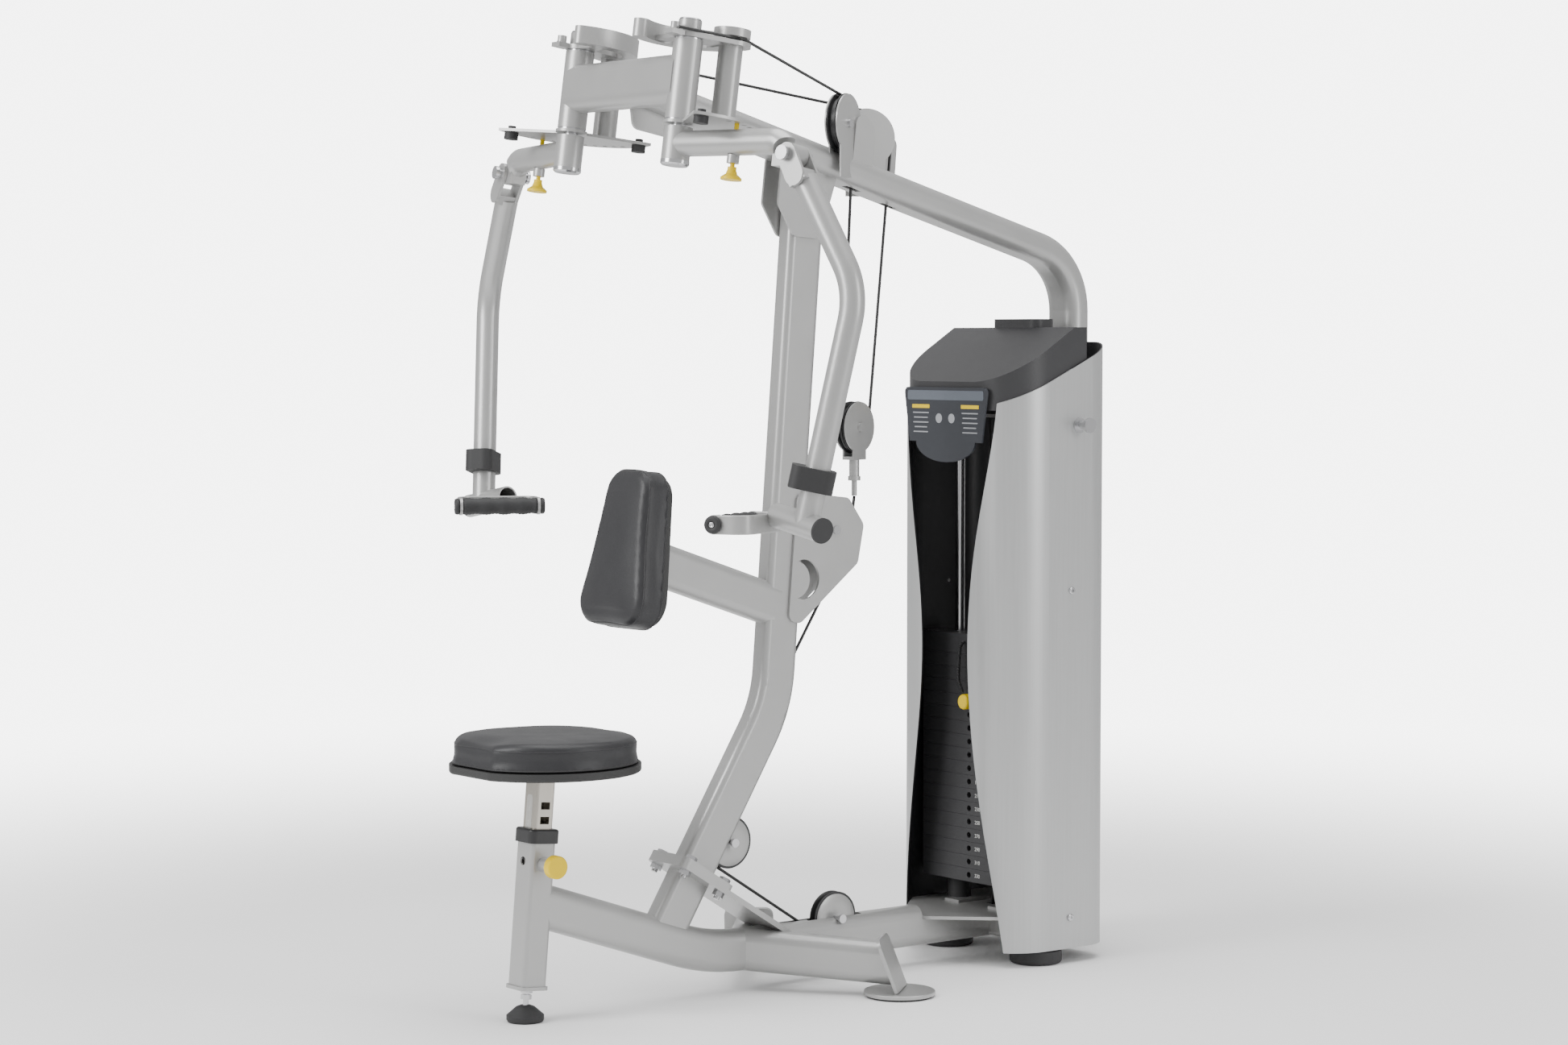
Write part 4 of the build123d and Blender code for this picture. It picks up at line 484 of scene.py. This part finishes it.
def even_moves(mesh, moves, cap, rounds=60):
    """Cap each point's move, then average it with its neighbours' so that the cover stays taut."""
    moves = [m if m.length <= cap else m.normalized() * cap for m in moves]
    beside = [[] for _ in moves]
    for edge in mesh.edges:
        a, b = edge.vertices
        beside[a].append(b)
        beside[b].append(a)
    for _ in range(rounds):
        moves = [sum((moves[j] for j in near), Vector()) / len(near) * 0.5 + m * 0.5 if near else m
                 for m, near in zip(moves, beside)]
    return moves


def on_surface(obj, points, towards):
    """Move each point along `towards` until it meets the object's surface."""
    tree = BVHTree.FromObject(obj, bpy.context.evaluated_depsgraph_get())
    found = []
    for p, d in zip(points, towards):
        hit = tree.ray_cast(p, d)[0]
        found.append(hit if hit else p)
    return found


def softened(points, times=2):
    """Average each point of a closed line with its neighbours."""
    for _ in range(times):
        n = len(points)
        points = [(points[k - 1] + points[k] * 2 + points[(k + 1) % n]) / 4 for k in range(n)]
    return points


SEAT_RADIUS, SEAT_FLAT = 0.163, 0.152
SEAT_BASE = 0.442        # height of the seat cushion's underside, in metres
SEAM_RISE, HEM_RISE = 0.036, 0.004
POST_FACE = -0.01976     # the post's front face, from its axis
TOP_NUMBER, NUMBER_STEP = 0.3655, 0.025
PAD_HALF, PAD_TOP, PAD_FOOT = 0.141, 0.058, 0.103


def seat_outline(grow, count=150):
    """The seat's plan: a circle with a flat front, its two corners rounded."""
    radius, flat = SEAT_RADIUS + grow, SEAT_FLAT + grow
    pts = []
    for k in range(count):
        a = tau * k / count
        x, y = radius * sin(a), -radius * cos(a)
        pts.append(Vector((x, max(y, -flat), 0)))
    return softened(pts, 5)


def seat_place(height):
    """The level place at the seat's centre, at a height in metres."""
    return Matrix.Translation(at(0, -122, 0) + Vector((0, 0, height)))


def post_place():
    """The place whose z axis runs up the leaning seat post."""
    return aimed(at(0, -167, 0), (0, sin(SEAT_LEAN), cos(SEAT_LEAN)), (1, 0, 0))


class MACHINE_OT_seat(bpy.types.Operator):
    """Make the seat's cushion with its seams, rim and the numbers on its post"""
    bl_idname = "machine.seat"
    bl_label = "Seat"

    def execute(self, context):
        foot = seat_place(SEAT_BASE).translation
        cover = stuffed("seat_cover", "seat_cushion", shape_of().seat_cap, Vector((0, 0, 1)), foot)
        paint(cover, "charcoal_vinyl")
        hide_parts("seat_cushion")
        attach(cover, "seat")
        place = seat_place(SEAT_BASE + SEAM_RISE)
        ring = [place @ p for p in seat_outline(RAY_START)]
        inward = [(place.translation - p).normalized() for p in ring]
        line = softened(on_surface(cover, ring, inward))
        seam = tube("seat_seam", line, shape_of().seam / 2, 8, closed=True)
        paint(seam, "charcoal_vinyl")
        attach(seam, "seat")
        low = seat_place(SEAT_BASE + HEM_RISE)
        ring = [low @ p for p in seat_outline(RAY_START)]
        inward = [(low.translation - p).normalized() for p in ring]
        hem = tube("seat_hem", softened(on_surface(cover, ring, inward)), 0.0016, 8, closed=True)
        paint(hem, "black_rubber")
        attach(hem, "seat")
        # Numbers on the post's front face, just proud of their strip
        face = post_place()
        upright = Matrix.Rotation(pi / 2, 4, "X")
        for k in range(5):
            spot = face @ Matrix.Translation((0, -0.01985, TOP_NUMBER - NUMBER_STEP * k)) @ upright
            digit = lettering("post_number_%d" % (k + 1), str(k + 1), 0.013, spot)
            paint(digit, "number_ink")
            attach(digit, "seat")
        strip = plate("number_strip", rounded_corners(0.017, 0.130, 0.006),
                      face @ Matrix.Translation((0, POST_FACE, 0.325)) @ upright, 0.00008)
        paint(strip, "stainless")
        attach(strip, "seat")
        return {"FINISHED"}


def lettering(name, text, size, place):
    """A generic number as flat raised mesh."""
    curve = bpy.data.curves.new(name, "FONT")
    curve.body = text
    curve.size = size
    curve.align_x = "CENTER"
    curve.align_y = "CENTER"
    curve.extrude = 0.00008
    obj = bpy.data.objects.new(name, curve)
    bpy.context.scene.collection.objects.link(obj)
    graph = bpy.context.evaluated_depsgraph_get()
    mesh = bpy.data.meshes.new_from_object(obj.evaluated_get(graph), depsgraph=graph)
    mesh.transform(place)
    bpy.data.objects.remove(obj)
    solid = bpy.data.objects.new(name, mesh)
    bpy.context.scene.collection.objects.link(solid)
    return solid


def pad_outline(grow, count=40):
    """The back pad's front view: a tall wedge with large rounded corners."""
    half, top, low = PAD_HALF + grow, PAD_TOP + grow, PAD_FOOT + grow
    corners = [(-low, -half), (low, -half), (top, half), (-top, half)]
    pts = []
    for k in range(4):
        a, b = Vector(corners[k]), Vector(corners[(k + 1) % 4])
        for j in range(count):
            pts.append(a + (b - a) * (j / count))
    pts = [Vector((p.x, p.y, 0)) for p in pts]
    return softened(pts, 90)


class MACHINE_OT_pad(bpy.types.Operator):
    """Make the back pad's cover and its front seam"""
    bl_idname = "machine.pad"
    bl_label = "Back pad"

    def execute(self, context):
        front = Vector((0, -cos(PAD_LEAN), sin(PAD_LEAN)))
        middle = at(0, 54, 804)
        cover = stuffed("pad_cover", "pad_cushion", shape_of().pad_cap, front, middle - front * 0.026)
        paint(cover, "charcoal_vinyl")
        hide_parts("pad_cushion")
        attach(cover, "frame")
        place = aimed(middle + front * 0.017, front, (1, 0, 0))
        for label, depth in (("pad_seam", 0.0), ("pad_back_seam", -0.038)):
            ring = [place @ (p + Vector((0, 0, depth))) for p in pad_outline(RAY_START)]
            centre = place @ Vector((0, 0, depth))
            inward = [(centre - p).normalized() for p in ring]
            seam = tube(label, softened(on_surface(cover, ring, inward)), shape_of().seam / 2, 8, closed=True)
            paint(seam, "charcoal_vinyl")
            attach(seam, "frame")
        return {"FINISHED"}


# ------------------------------------------------------------------ cables
ARM_ROUTE = {
    "right": [(182.0, 32.8, 1692.7), (205.3, 151.6, 1676.0), (7.8, 553.8, 1597.8), (12.6, 517.2, 964.0)],
    "left": [(-182.0, 32.8, 1692.7), (-205.0, 150.1, 1676.2), (-12.9, 662.5, 1577.2), (-10.7, 598.3, 964.0)],
}
ARM_BENDS = (0.029, 0.049)    # radii round the cam's drum and the top pulley, in metres
FLOAT_RADIUS = 0.0425    # radius round the floating pulley
FLOAT_RUN = 0.06         # how far the floating pulley's own piece reaches up from its foot
FALL_STOP = 0.044        # how far above that foot each falling cable ends
LIFT_ROUTE = [(0, 561.0, 880.8), (0, 549.3, 798.4), (0, 199.5, 255.5), (0, 498.3, 66.0), (0, 979.0, 66.0),
              (0, 979.0, 1121.0), (0, 893.0, 1121.0), (0, 893.0, 637.1)]
LIFT_BENDS = (52.0, 43.0, 43.0, 34.0, 42.8, 42.8)    # in millimetres


def rounded_route(corners, bends):
    """Straight runs and arcs of a cable: a list of point lists, run, arc, run, arc and so on."""
    pieces = []
    start = corners[0]
    for k, radius in enumerate(bends):
        before, corner, after = corners[k], corners[k + 1], corners[k + 2]
        come, leave = (corner - before).normalized(), (after - corner).normalized()
        turn = come.angle(leave)
        reach = radius * tan(turn / 2)
        a, b = corner - come * reach, corner + leave * reach
        centre = corner + ((leave - come).normalized() * (radius / cos(turn / 2)))
        steps = max(3, int(turn / radians(6)))
        arc = []
        u, v = a - centre, b - centre
        for j in range(steps + 1):
            part = j / steps
            arc.append(centre + (u * sin((1 - part) * turn) + v * sin(part * turn)) / sin(turn))
        pieces.append(subdivided(start, a))
        pieces.append(arc)
        start = b
    pieces.append(subdivided(start, corners[-1]))
    return pieces


def subdivided(a, b, step=0.02):
    """A straight line from a to b as points about a step apart."""
    count = max(2, int((b - a).length / step))
    return [a + (b - a) * (k / count) for k in range(count + 1)]


def joined(name, objs):
    """Several meshes as one object."""
    verts, faces = [], []
    for obj in objs:
        base = len(verts)
        verts += [v.co.copy() for v in obj.data.vertices]
        faces += [tuple(base + i for i in p.vertices) for p in obj.data.polygons]
        bpy.data.objects.remove(obj)
    return mesh_object(name, verts, faces)


class MACHINE_OT_cables(bpy.types.Operator):
    """Lay the two machine cables round their pulleys, each run on the bodies at its ends"""
    bl_idname = "machine.cables"
    bl_label = "Cables"

    def execute(self, context):
        r = shape_of().cable / 2
        for side in ("right", "left"):
            route = [at(*p) for p in ARM_ROUTE[side]]
            pieces = rounded_route(route[:4], ARM_BENDS)
            cam = "cam_" + side
            on_drum = joined("drum_cable_" + side, [tube("a", pieces[0], r), tube("b", pieces[1], r)])
            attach(on_drum, cam)
            reach = tube("reach_cable_" + side, pieces[2], r)
            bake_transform(reach)
            over = tube("over_cable_" + side, pieces[3], r)
            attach(over, "frame")
            fall = pieces[4]
            low = fall[-1]
            up = (fall[0] - low).normalized()
            fall = subdivided(fall[0], low + up * FALL_STOP)
            drop = tube("fall_cable_" + side, fall, r)
            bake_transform(drop)
            for obj in (on_drum, reach, over, drop):
                paint(obj, "cable_sheath")
        front, rear = at(*ARM_ROUTE["right"][3]), at(*ARM_ROUTE["left"][3])
        up_front = (at(*ARM_ROUTE["right"][2]) - front).normalized()
        up_rear = (at(*ARM_ROUTE["left"][2]) - rear).normalized()
        corners = [front + up_front * FLOAT_RUN, front, rear, rear + up_rear * FLOAT_RUN]
        loop = rounded_route(corners, (FLOAT_RADIUS, FLOAT_RADIUS))
        under = joined("float_cable", [tube("run", piece, r) for piece in loop])
        paint(under, "cable_sheath")
        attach(under, "float")
        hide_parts("arm_cable")
        pieces = rounded_route([at(*p) for p in LIFT_ROUTE], [b / 1000 for b in LIFT_BENDS])
        rising = tube("adjuster_cable", pieces[0], r)
        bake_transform(rising)
        fixed = joined("lift_cable_line", [tube("run", piece, r) for piece in pieces[1:-1]])
        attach(fixed, "frame")
        last = tube("stack_cable", pieces[-1], r)
        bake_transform(last)
        for obj in (rising, fixed, last):
            paint(obj, "cable_sheath")
        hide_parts("lift_cable")
        return {"FINISHED"}


LANYARD_ROUTE = [(-12, 841.9, 596), (-12, 832, 596), (-12.6, 828, 580), (-13, 826, 546), (-12.4, 825, 524),
                 (-8, 827.5, 510), (-3.2, 829.7, 500.5)]
COIL_EASE = 0.006        # length at each end over which the turns open out, in metres


class MACHINE_OT_lanyard(bpy.types.Operator):
    """Coil the curly lanyard between the head plate and the weight pin"""
    bl_idname = "machine.lanyard"
    bl_label = "Pin lanyard"

    def execute(self, context):
        guide = nurbs("lanyard_guide", [at(*p) for p in LANYARD_ROUTE])
        mesh = bpy.data.meshes.new_from_object(guide)
        line = [v.co.copy() for v in mesh.vertices]
        bpy.data.objects.remove(guide)
        steps = [0.0]
        for a, b in zip(line, line[1:]):
            steps.append(steps[-1] + (b - a).length)
        whole = steps[-1]
        coil, wire, pitch, around = 0.0027, 0.0022, 0.0029, 10
        rows = frames_along(line)
        points = []
        count = int(whole / pitch) * around
        for k in range(count + 1):
            s = whole * k / count
            i = max(j for j in range(len(steps)) if steps[j] <= s + 1e-9)
            i = min(i, len(line) - 2)
            w = (s - steps[i]) / (steps[i + 1] - steps[i])
            p = line[i].lerp(line[i + 1], w)
            u, v = rows[i][1], rows[i][2]
            ease = min(1.0, min(s, whole - s) / COIL_EASE)
            a = tau * k / around
            points.append(p + (u * cos(a) + v * sin(a)) * coil * ease)
        curl = nurbs("lanyard_curl", points)
        smooth = bpy.data.meshes.new_from_object(curl)
        line = [v.co.copy() for v in smooth.vertices][::2]
        bpy.data.objects.remove(curl)
        cord = tube("lanyard_cord", line, wire / 2, 8)
        paint(cord, "black_plastic")
        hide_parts("pin_lanyard")
        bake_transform(cord)
        return {"FINISHED"}


def nurbs(name, points):
    """A smooth curve that follows a line of points."""
    curve = bpy.data.curves.new(name, "CURVE")
    curve.dimensions = "3D"
    curve.resolution_u = 4
    spline = curve.splines.new("NURBS")
    spline.points.add(len(points) - 1)
    for target, p in zip(spline.points, points):
        target.co = (*p, 1)
    spline.order_u = 3
    spline.use_endpoint_u = True
    obj = bpy.data.objects.new(name, curve)
    bpy.context.scene.collection.objects.link(obj)
    return obj


# ------------------------------------------------------------------ handles and trim
GRIP_GAP = 0.003         # bare tube left at each end of a grip's rubber
GRIP_POINTS = 44         # points along a grip's ribbed profile
CAP_PROFILE = [(0.0125, 0.0), (0.0148, 0.0015), (0.015, 0.005), (0.0135, 0.0082), (0.006, 0.0086),
               (0.0055, 0.0076)]
SCREW_PROFILE = [(0.0048, 0.0077), (0.0048, 0.0084), (0.0038, 0.0088), (0.0022, 0.0088), (0.0020, 0.0079)]
HUB_PROFILE = [(0.0185, 0.0), (0.0195, 0.0012), (0.0180, 0.0034), (0.0085, 0.0042), (0.0070, 0.0034),
               (0.0068, 0.0024)]


class MACHINE_OT_grips(bpy.types.Operator):
    """Make the ribbed rubber grips with their end caps and screws"""
    bl_idname = "machine.grips"
    bl_label = "Grips"

    def execute(self, context):
        for side, name in ((1, "right"), (-1, "left")):
            front, rear = at(side * 383, -46, 865), at(side * 321, 81, 865)
            along = (rear - front).normalized()
            length = (rear - front).length
            place = aimed(front, along, (0, 0, 1))
            profile = [(0.009, GRIP_GAP)]
            for k in range(GRIP_POINTS + 1):
                t = k / GRIP_POINTS
                swell = 0.0007 * sin(pi * t) + 0.0009 * sin(tau * 4 * t)
                rib = 0.0007 if k % 2 and 2 < k < GRIP_POINTS - 2 else 0.0
                profile.append((0.0148 + swell - rib,
                                GRIP_GAP + 0.001 + (length - 2 * GRIP_GAP - 0.002) * t))
            profile.append((0.009, length - GRIP_GAP))
            grip = lathe("grip_rubber_" + name, profile, place, 44)
            paint(grip, "black_rubber")
            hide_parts("grip_" + name)
            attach(grip, "lower_" + name)
            for end, sign, label in ((front, -1, "front"), (rear, 1, "rear")):
                out = aimed(end + along * sign * 0.0027, along * sign)
                cap = lathe("grip_cap_%s_%s" % (label, name), CAP_PROFILE, out, 40)
                paint(cap, "black_rubber")
                screw = lathe("grip_screw_%s_%s" % (label, name), SCREW_PROFILE, out, 20)
                paint(screw, "chrome_steel")
                for piece in (cap, screw):
                    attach(piece, "lower_" + name)
        return {"FINISHED"}


PULLEY_FACES = {         # place and axis, then radius and half width in millimetres
    "column_pulley": ((0, 268, 270), (1, 0, 0), 43.5, 8.0),
    "base_pulley": ((0, 511, 109), (1, 0, 0), 43.5, 8.0),
}
STACK_FOOT, PLATE_PITCH = 141.3, 25.4    # in millimetres
PLATES = 17              # numbered plates; the lowest thirteen stay down


class MACHINE_OT_trim(bpy.types.Operator):
    """Add pulley faces, hub caps, the instruction panel's bands and the plate numbers"""
    bl_idname = "machine.trim"
    bl_label = "Trim"

    def execute(self, context):
        for body, (spot, axis, radius, half) in PULLEY_FACES.items():
            for sign in (1, -1):
                place = aimed(at(*spot) + Vector(axis) * sign * (half / 1000 + 0.0001), Vector(axis) * sign)
                r = radius / 1000
                face = [(0.0085, 0.0), (r, 0.0), (r, 0.0009), (r - 0.0008, 0.0014), (0.0095, 0.0014),
                        (0.0085, 0.0010)]
                disc = lathe("%s_face_%s" % (body, "a" if sign > 0 else "b"), face, place, 64)
                paint(disc, "silver_paint")
                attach(disc, body)
        lean = Vector((0, sin(PIVOT_LEAN), cos(PIVOT_LEAN)))
        for side, name in ((1, "right"), (-1, "left")):
            top = aimed(at(side * 161, 57, 1606) + lean * 0.1012, lean)
            cap = lathe("hub_cap_" + name, HUB_PROFILE, top, 48)
            paint(cap, "chrome_steel")
            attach(cap, "cam_" + name)
        panel = aimed(at(0, 780.15, 1012), (0, -1, 0), (1, 0, 0))
        shift = Matrix.Translation
        band = plate("panel_band", rounded_corners(0.216, 0.018, 0.004), panel @ shift((0, 0.051, 0)), 0.0004)
        paint(band, "panel_band")
        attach(band, "frame")
        for side, label in ((1, "right"), (-1, "left")):
            bar = plate("panel_header_" + label, rounded_corners(0.050, 0.007, 0.0015),
                        panel @ shift((side * 0.070, 0.030, 0)), 0.0004)
            paint(bar, "yellow_plastic")
            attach(bar, "frame")
            for k, width in enumerate((0.046, 0.040, 0.044, 0.036, 0.042)):
                line = plate("panel_line_%s_%d" % (label, k), rounded_corners(width, 0.0022, 0.001, 2),
                             panel @ shift((side * 0.070, 0.018 - 0.009 * k, 0)), 0.0003)
                paint(line, "panel_ink")
                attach(line, "frame")
            disc = [(0.009 * cos(tau * j / 24), 0.009 * sin(tau * j / 24)) for j in range(24)]
            figure = plate("panel_figure_" + label, disc, panel @ shift((side * 0.018, 0.008, 0)), 0.0003)
            paint(figure, "panel_ink")
            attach(figure, "frame")
        for k in range(PLATES):
            height = STACK_FOOT + PLATE_PITCH * k + 12.5
            spot = aimed(at(24, 841.9, height), (0, -1, 0), (1, 0, 0))
            number = lettering("plate_number_%d" % (PLATES - k), str(10 + 20 * (PLATES - 1 - k)), 0.010, spot)
            paint(number, "number_ink")
            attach(number, "stack" if k >= 13 else "frame")
        return {"FINISHED"}


class MACHINE_OT_finishes(bpy.types.Operator):
    """Give every carried-over frame piece its own finish"""
    bl_idname = "machine.finishes"
    bl_label = "Finishes"

    def execute(self, context):
        slots = {row["node"]: row["material_slot"] for row in frame["record"]["subparts"]}
        for name, obj in NODES.items():
            finish = MATERIALS[slots[name]]
            if not obj.material_slots:
                obj.data.materials.append(finish)
            for slot in obj.material_slots:
                slot.material = finish
        return {"FINISHED"}


# ------------------------------------------------------------------ studio
CAMERA_SPOT = (4816, -3365, 1167.5)    # in layout millimetres
FLOOR_HALF, FLOOR_DROP = 30, -0.0006
FLOOR_FADE = (1.2, 4.5)  # distances between which the floor pales into the backdrop, in metres
BACKDROP = 6.0           # brightness of the backdrop as the camera sees it
SKY = 0.75               # brightness of the sky that lights the machine
LIGHTS = (               # name, place, aim, size and power in watts
    ("key_light", (-0.6, -3.8, 2.8), (0, 0, 0.9), (1.8, 2.6), 150),
    ("side_light", (4.2, 1.4, 2.0), (0, 0.1, 0.9), (1.2, 2.8), 60),
    ("top_light", (0.2, 0.2, 4.2), (0, 0.1, 0.6), (3.4, 3.4), 150),
)


def softbox(name, spot, aim, size, power):
    light = bpy.data.lights.new(name, "AREA")
    light.shape = "RECTANGLE"
    light.size, light.size_y = size
    light.energy = power
    obj = bpy.data.objects.new(name, light)
    obj.location = spot
    obj.rotation_euler = (Vector(aim) - Vector(spot)).to_track_quat("-Z", "Y").to_euler()
    bpy.context.scene.collection.objects.link(obj)


class MACHINE_OT_studio(bpy.types.Operator):
    """Set up the camera, the pale floor and the soft lights"""
    bl_idname = "machine.studio"
    bl_label = "Studio"

    def execute(self, context):
        studio = context.scene.machine_studio
        data = bpy.data.cameras.new("studio_camera")
        data.sensor_width = 36.0
        data.lens = studio.lens
        data.clip_end = 100
        camera = bpy.data.objects.new("studio_camera", data)
        camera.location = at(*CAMERA_SPOT)
        camera.rotation_euler = (pi / 2 - studio.elevation, 0, studio.azimuth)
        context.scene.collection.objects.link(camera)
        context.scene.camera = camera
        ends = ((-1, -1), (1, -1), (1, 1), (-1, 1))
        corners = [(x * FLOOR_HALF, y * FLOOR_HALF, FLOOR_DROP) for x, y in ends]
        floor = mesh_object("studio_floor", corners, [(0, 1, 2, 3)], smooth=False)
        paper = bpy.data.materials.new("studio_paper")
        paper.use_nodes = True
        nodes, link = paper.node_tree.nodes, paper.node_tree.links.new
        shader = nodes["Principled BSDF"]
        shader.inputs["Base Color"].default_value = (*studio.floor, 1)
        shader.inputs["Roughness"].default_value = 0.9
        # The floor pales with distance into the backdrop
        spot = nodes.new("ShaderNodeTexCoord")
        away = nodes.new("ShaderNodeVectorMath")
        away.operation = "LENGTH"
        fade = nodes.new("ShaderNodeMapRange")
        fade.inputs["From Min"].default_value = FLOOR_FADE[0]
        fade.inputs["From Max"].default_value = FLOOR_FADE[1]
        fade.interpolation_type = "SMOOTHSTEP"
        path = nodes.new("ShaderNodeLightPath")
        both = nodes.new("ShaderNodeMath")
        both.operation = "MULTIPLY"
        pale = nodes.new("ShaderNodeEmission")
        pale.inputs["Strength"].default_value = BACKDROP
        mix = nodes.new("ShaderNodeMixShader")
        link(spot.outputs["Object"], away.inputs[0])
        link(away.outputs["Value"], fade.inputs["Value"])
        link(fade.outputs["Result"], both.inputs[0])
        link(path.outputs["Is Camera Ray"], both.inputs[1])
        link(both.outputs[0], mix.inputs["Fac"])
        link(shader.outputs["BSDF"], mix.inputs[1])
        link(pale.outputs["Emission"], mix.inputs[2])
        link(mix.outputs["Shader"], nodes["Material Output"].inputs["Surface"])
        floor.data.materials.append(paper)
        world = bpy.data.worlds.new("studio_world")
        world.use_nodes = True
        nodes, link = world.node_tree.nodes, world.node_tree.links.new
        sky = nodes["Background"]
        sky.inputs["Color"].default_value = (1, 1, 1, 1)
        sky.inputs["Strength"].default_value = SKY
        seen = nodes.new("ShaderNodeBackground")
        seen.inputs["Color"].default_value = (1, 1, 1, 1)
        seen.inputs["Strength"].default_value = BACKDROP
        path = nodes.new("ShaderNodeLightPath")
        blend = nodes.new("ShaderNodeMixShader")
        link(path.outputs["Is Camera Ray"], blend.inputs["Fac"])
        link(sky.outputs["Background"], blend.inputs[1])
        link(seen.outputs["Background"], blend.inputs[2])
        link(blend.outputs["Shader"], nodes["World Output"].inputs["Surface"])
        context.scene.world = world
        for light in LIGHTS:
            softbox(*light)
        return {"FINISHED"}


class MACHINE_PT_panel(bpy.types.Panel):
    """Lists the machine's settings and the steps that build it"""
    bl_idname = "MACHINE_PT_panel"
    bl_label = "Pec fly machine"
    bl_space_type = "VIEW_3D"
    bl_region_type = "UI"
    bl_category = "Pec fly machine"

    def draw(self, context):
        layout = self.layout
        scene = context.scene
        for group in (scene.machine_finish, scene.machine_shape, scene.machine_studio):
            box = layout.box()
            for label in group.__annotations__:
                box.prop(group, label)
        for step in STEPS:
            layout.operator(step.bl_idname)


STEPS = (MACHINE_OT_studio, MACHINE_OT_lanyard, MACHINE_OT_finishes, MACHINE_OT_cables, MACHINE_OT_seat,
         MACHINE_OT_pad, MACHINE_OT_grips, MACHINE_OT_trim)
CLASSES = (MachineFinish, MachineShape, MachineStudio, *STEPS, MACHINE_PT_panel)


def register():
    for cls in CLASSES:
        bpy.utils.register_class(cls)
    bpy.types.Scene.machine_finish = PointerProperty(type=MachineFinish)
    bpy.types.Scene.machine_shape = PointerProperty(type=MachineShape)
    bpy.types.Scene.machine_studio = PointerProperty(type=MachineStudio)


def unregister():
    del bpy.types.Scene.machine_finish
    del bpy.types.Scene.machine_shape
    del bpy.types.Scene.machine_studio
    for cls in reversed(CLASSES):
        bpy.utils.unregister_class(cls)


def main():
    register()
    MATERIALS.update(make_materials())
    for step in STEPS:
        group, name = step.bl_idname.split(".")
        getattr(getattr(bpy.ops, group), name)()


if __name__ == "__main__":
    main()
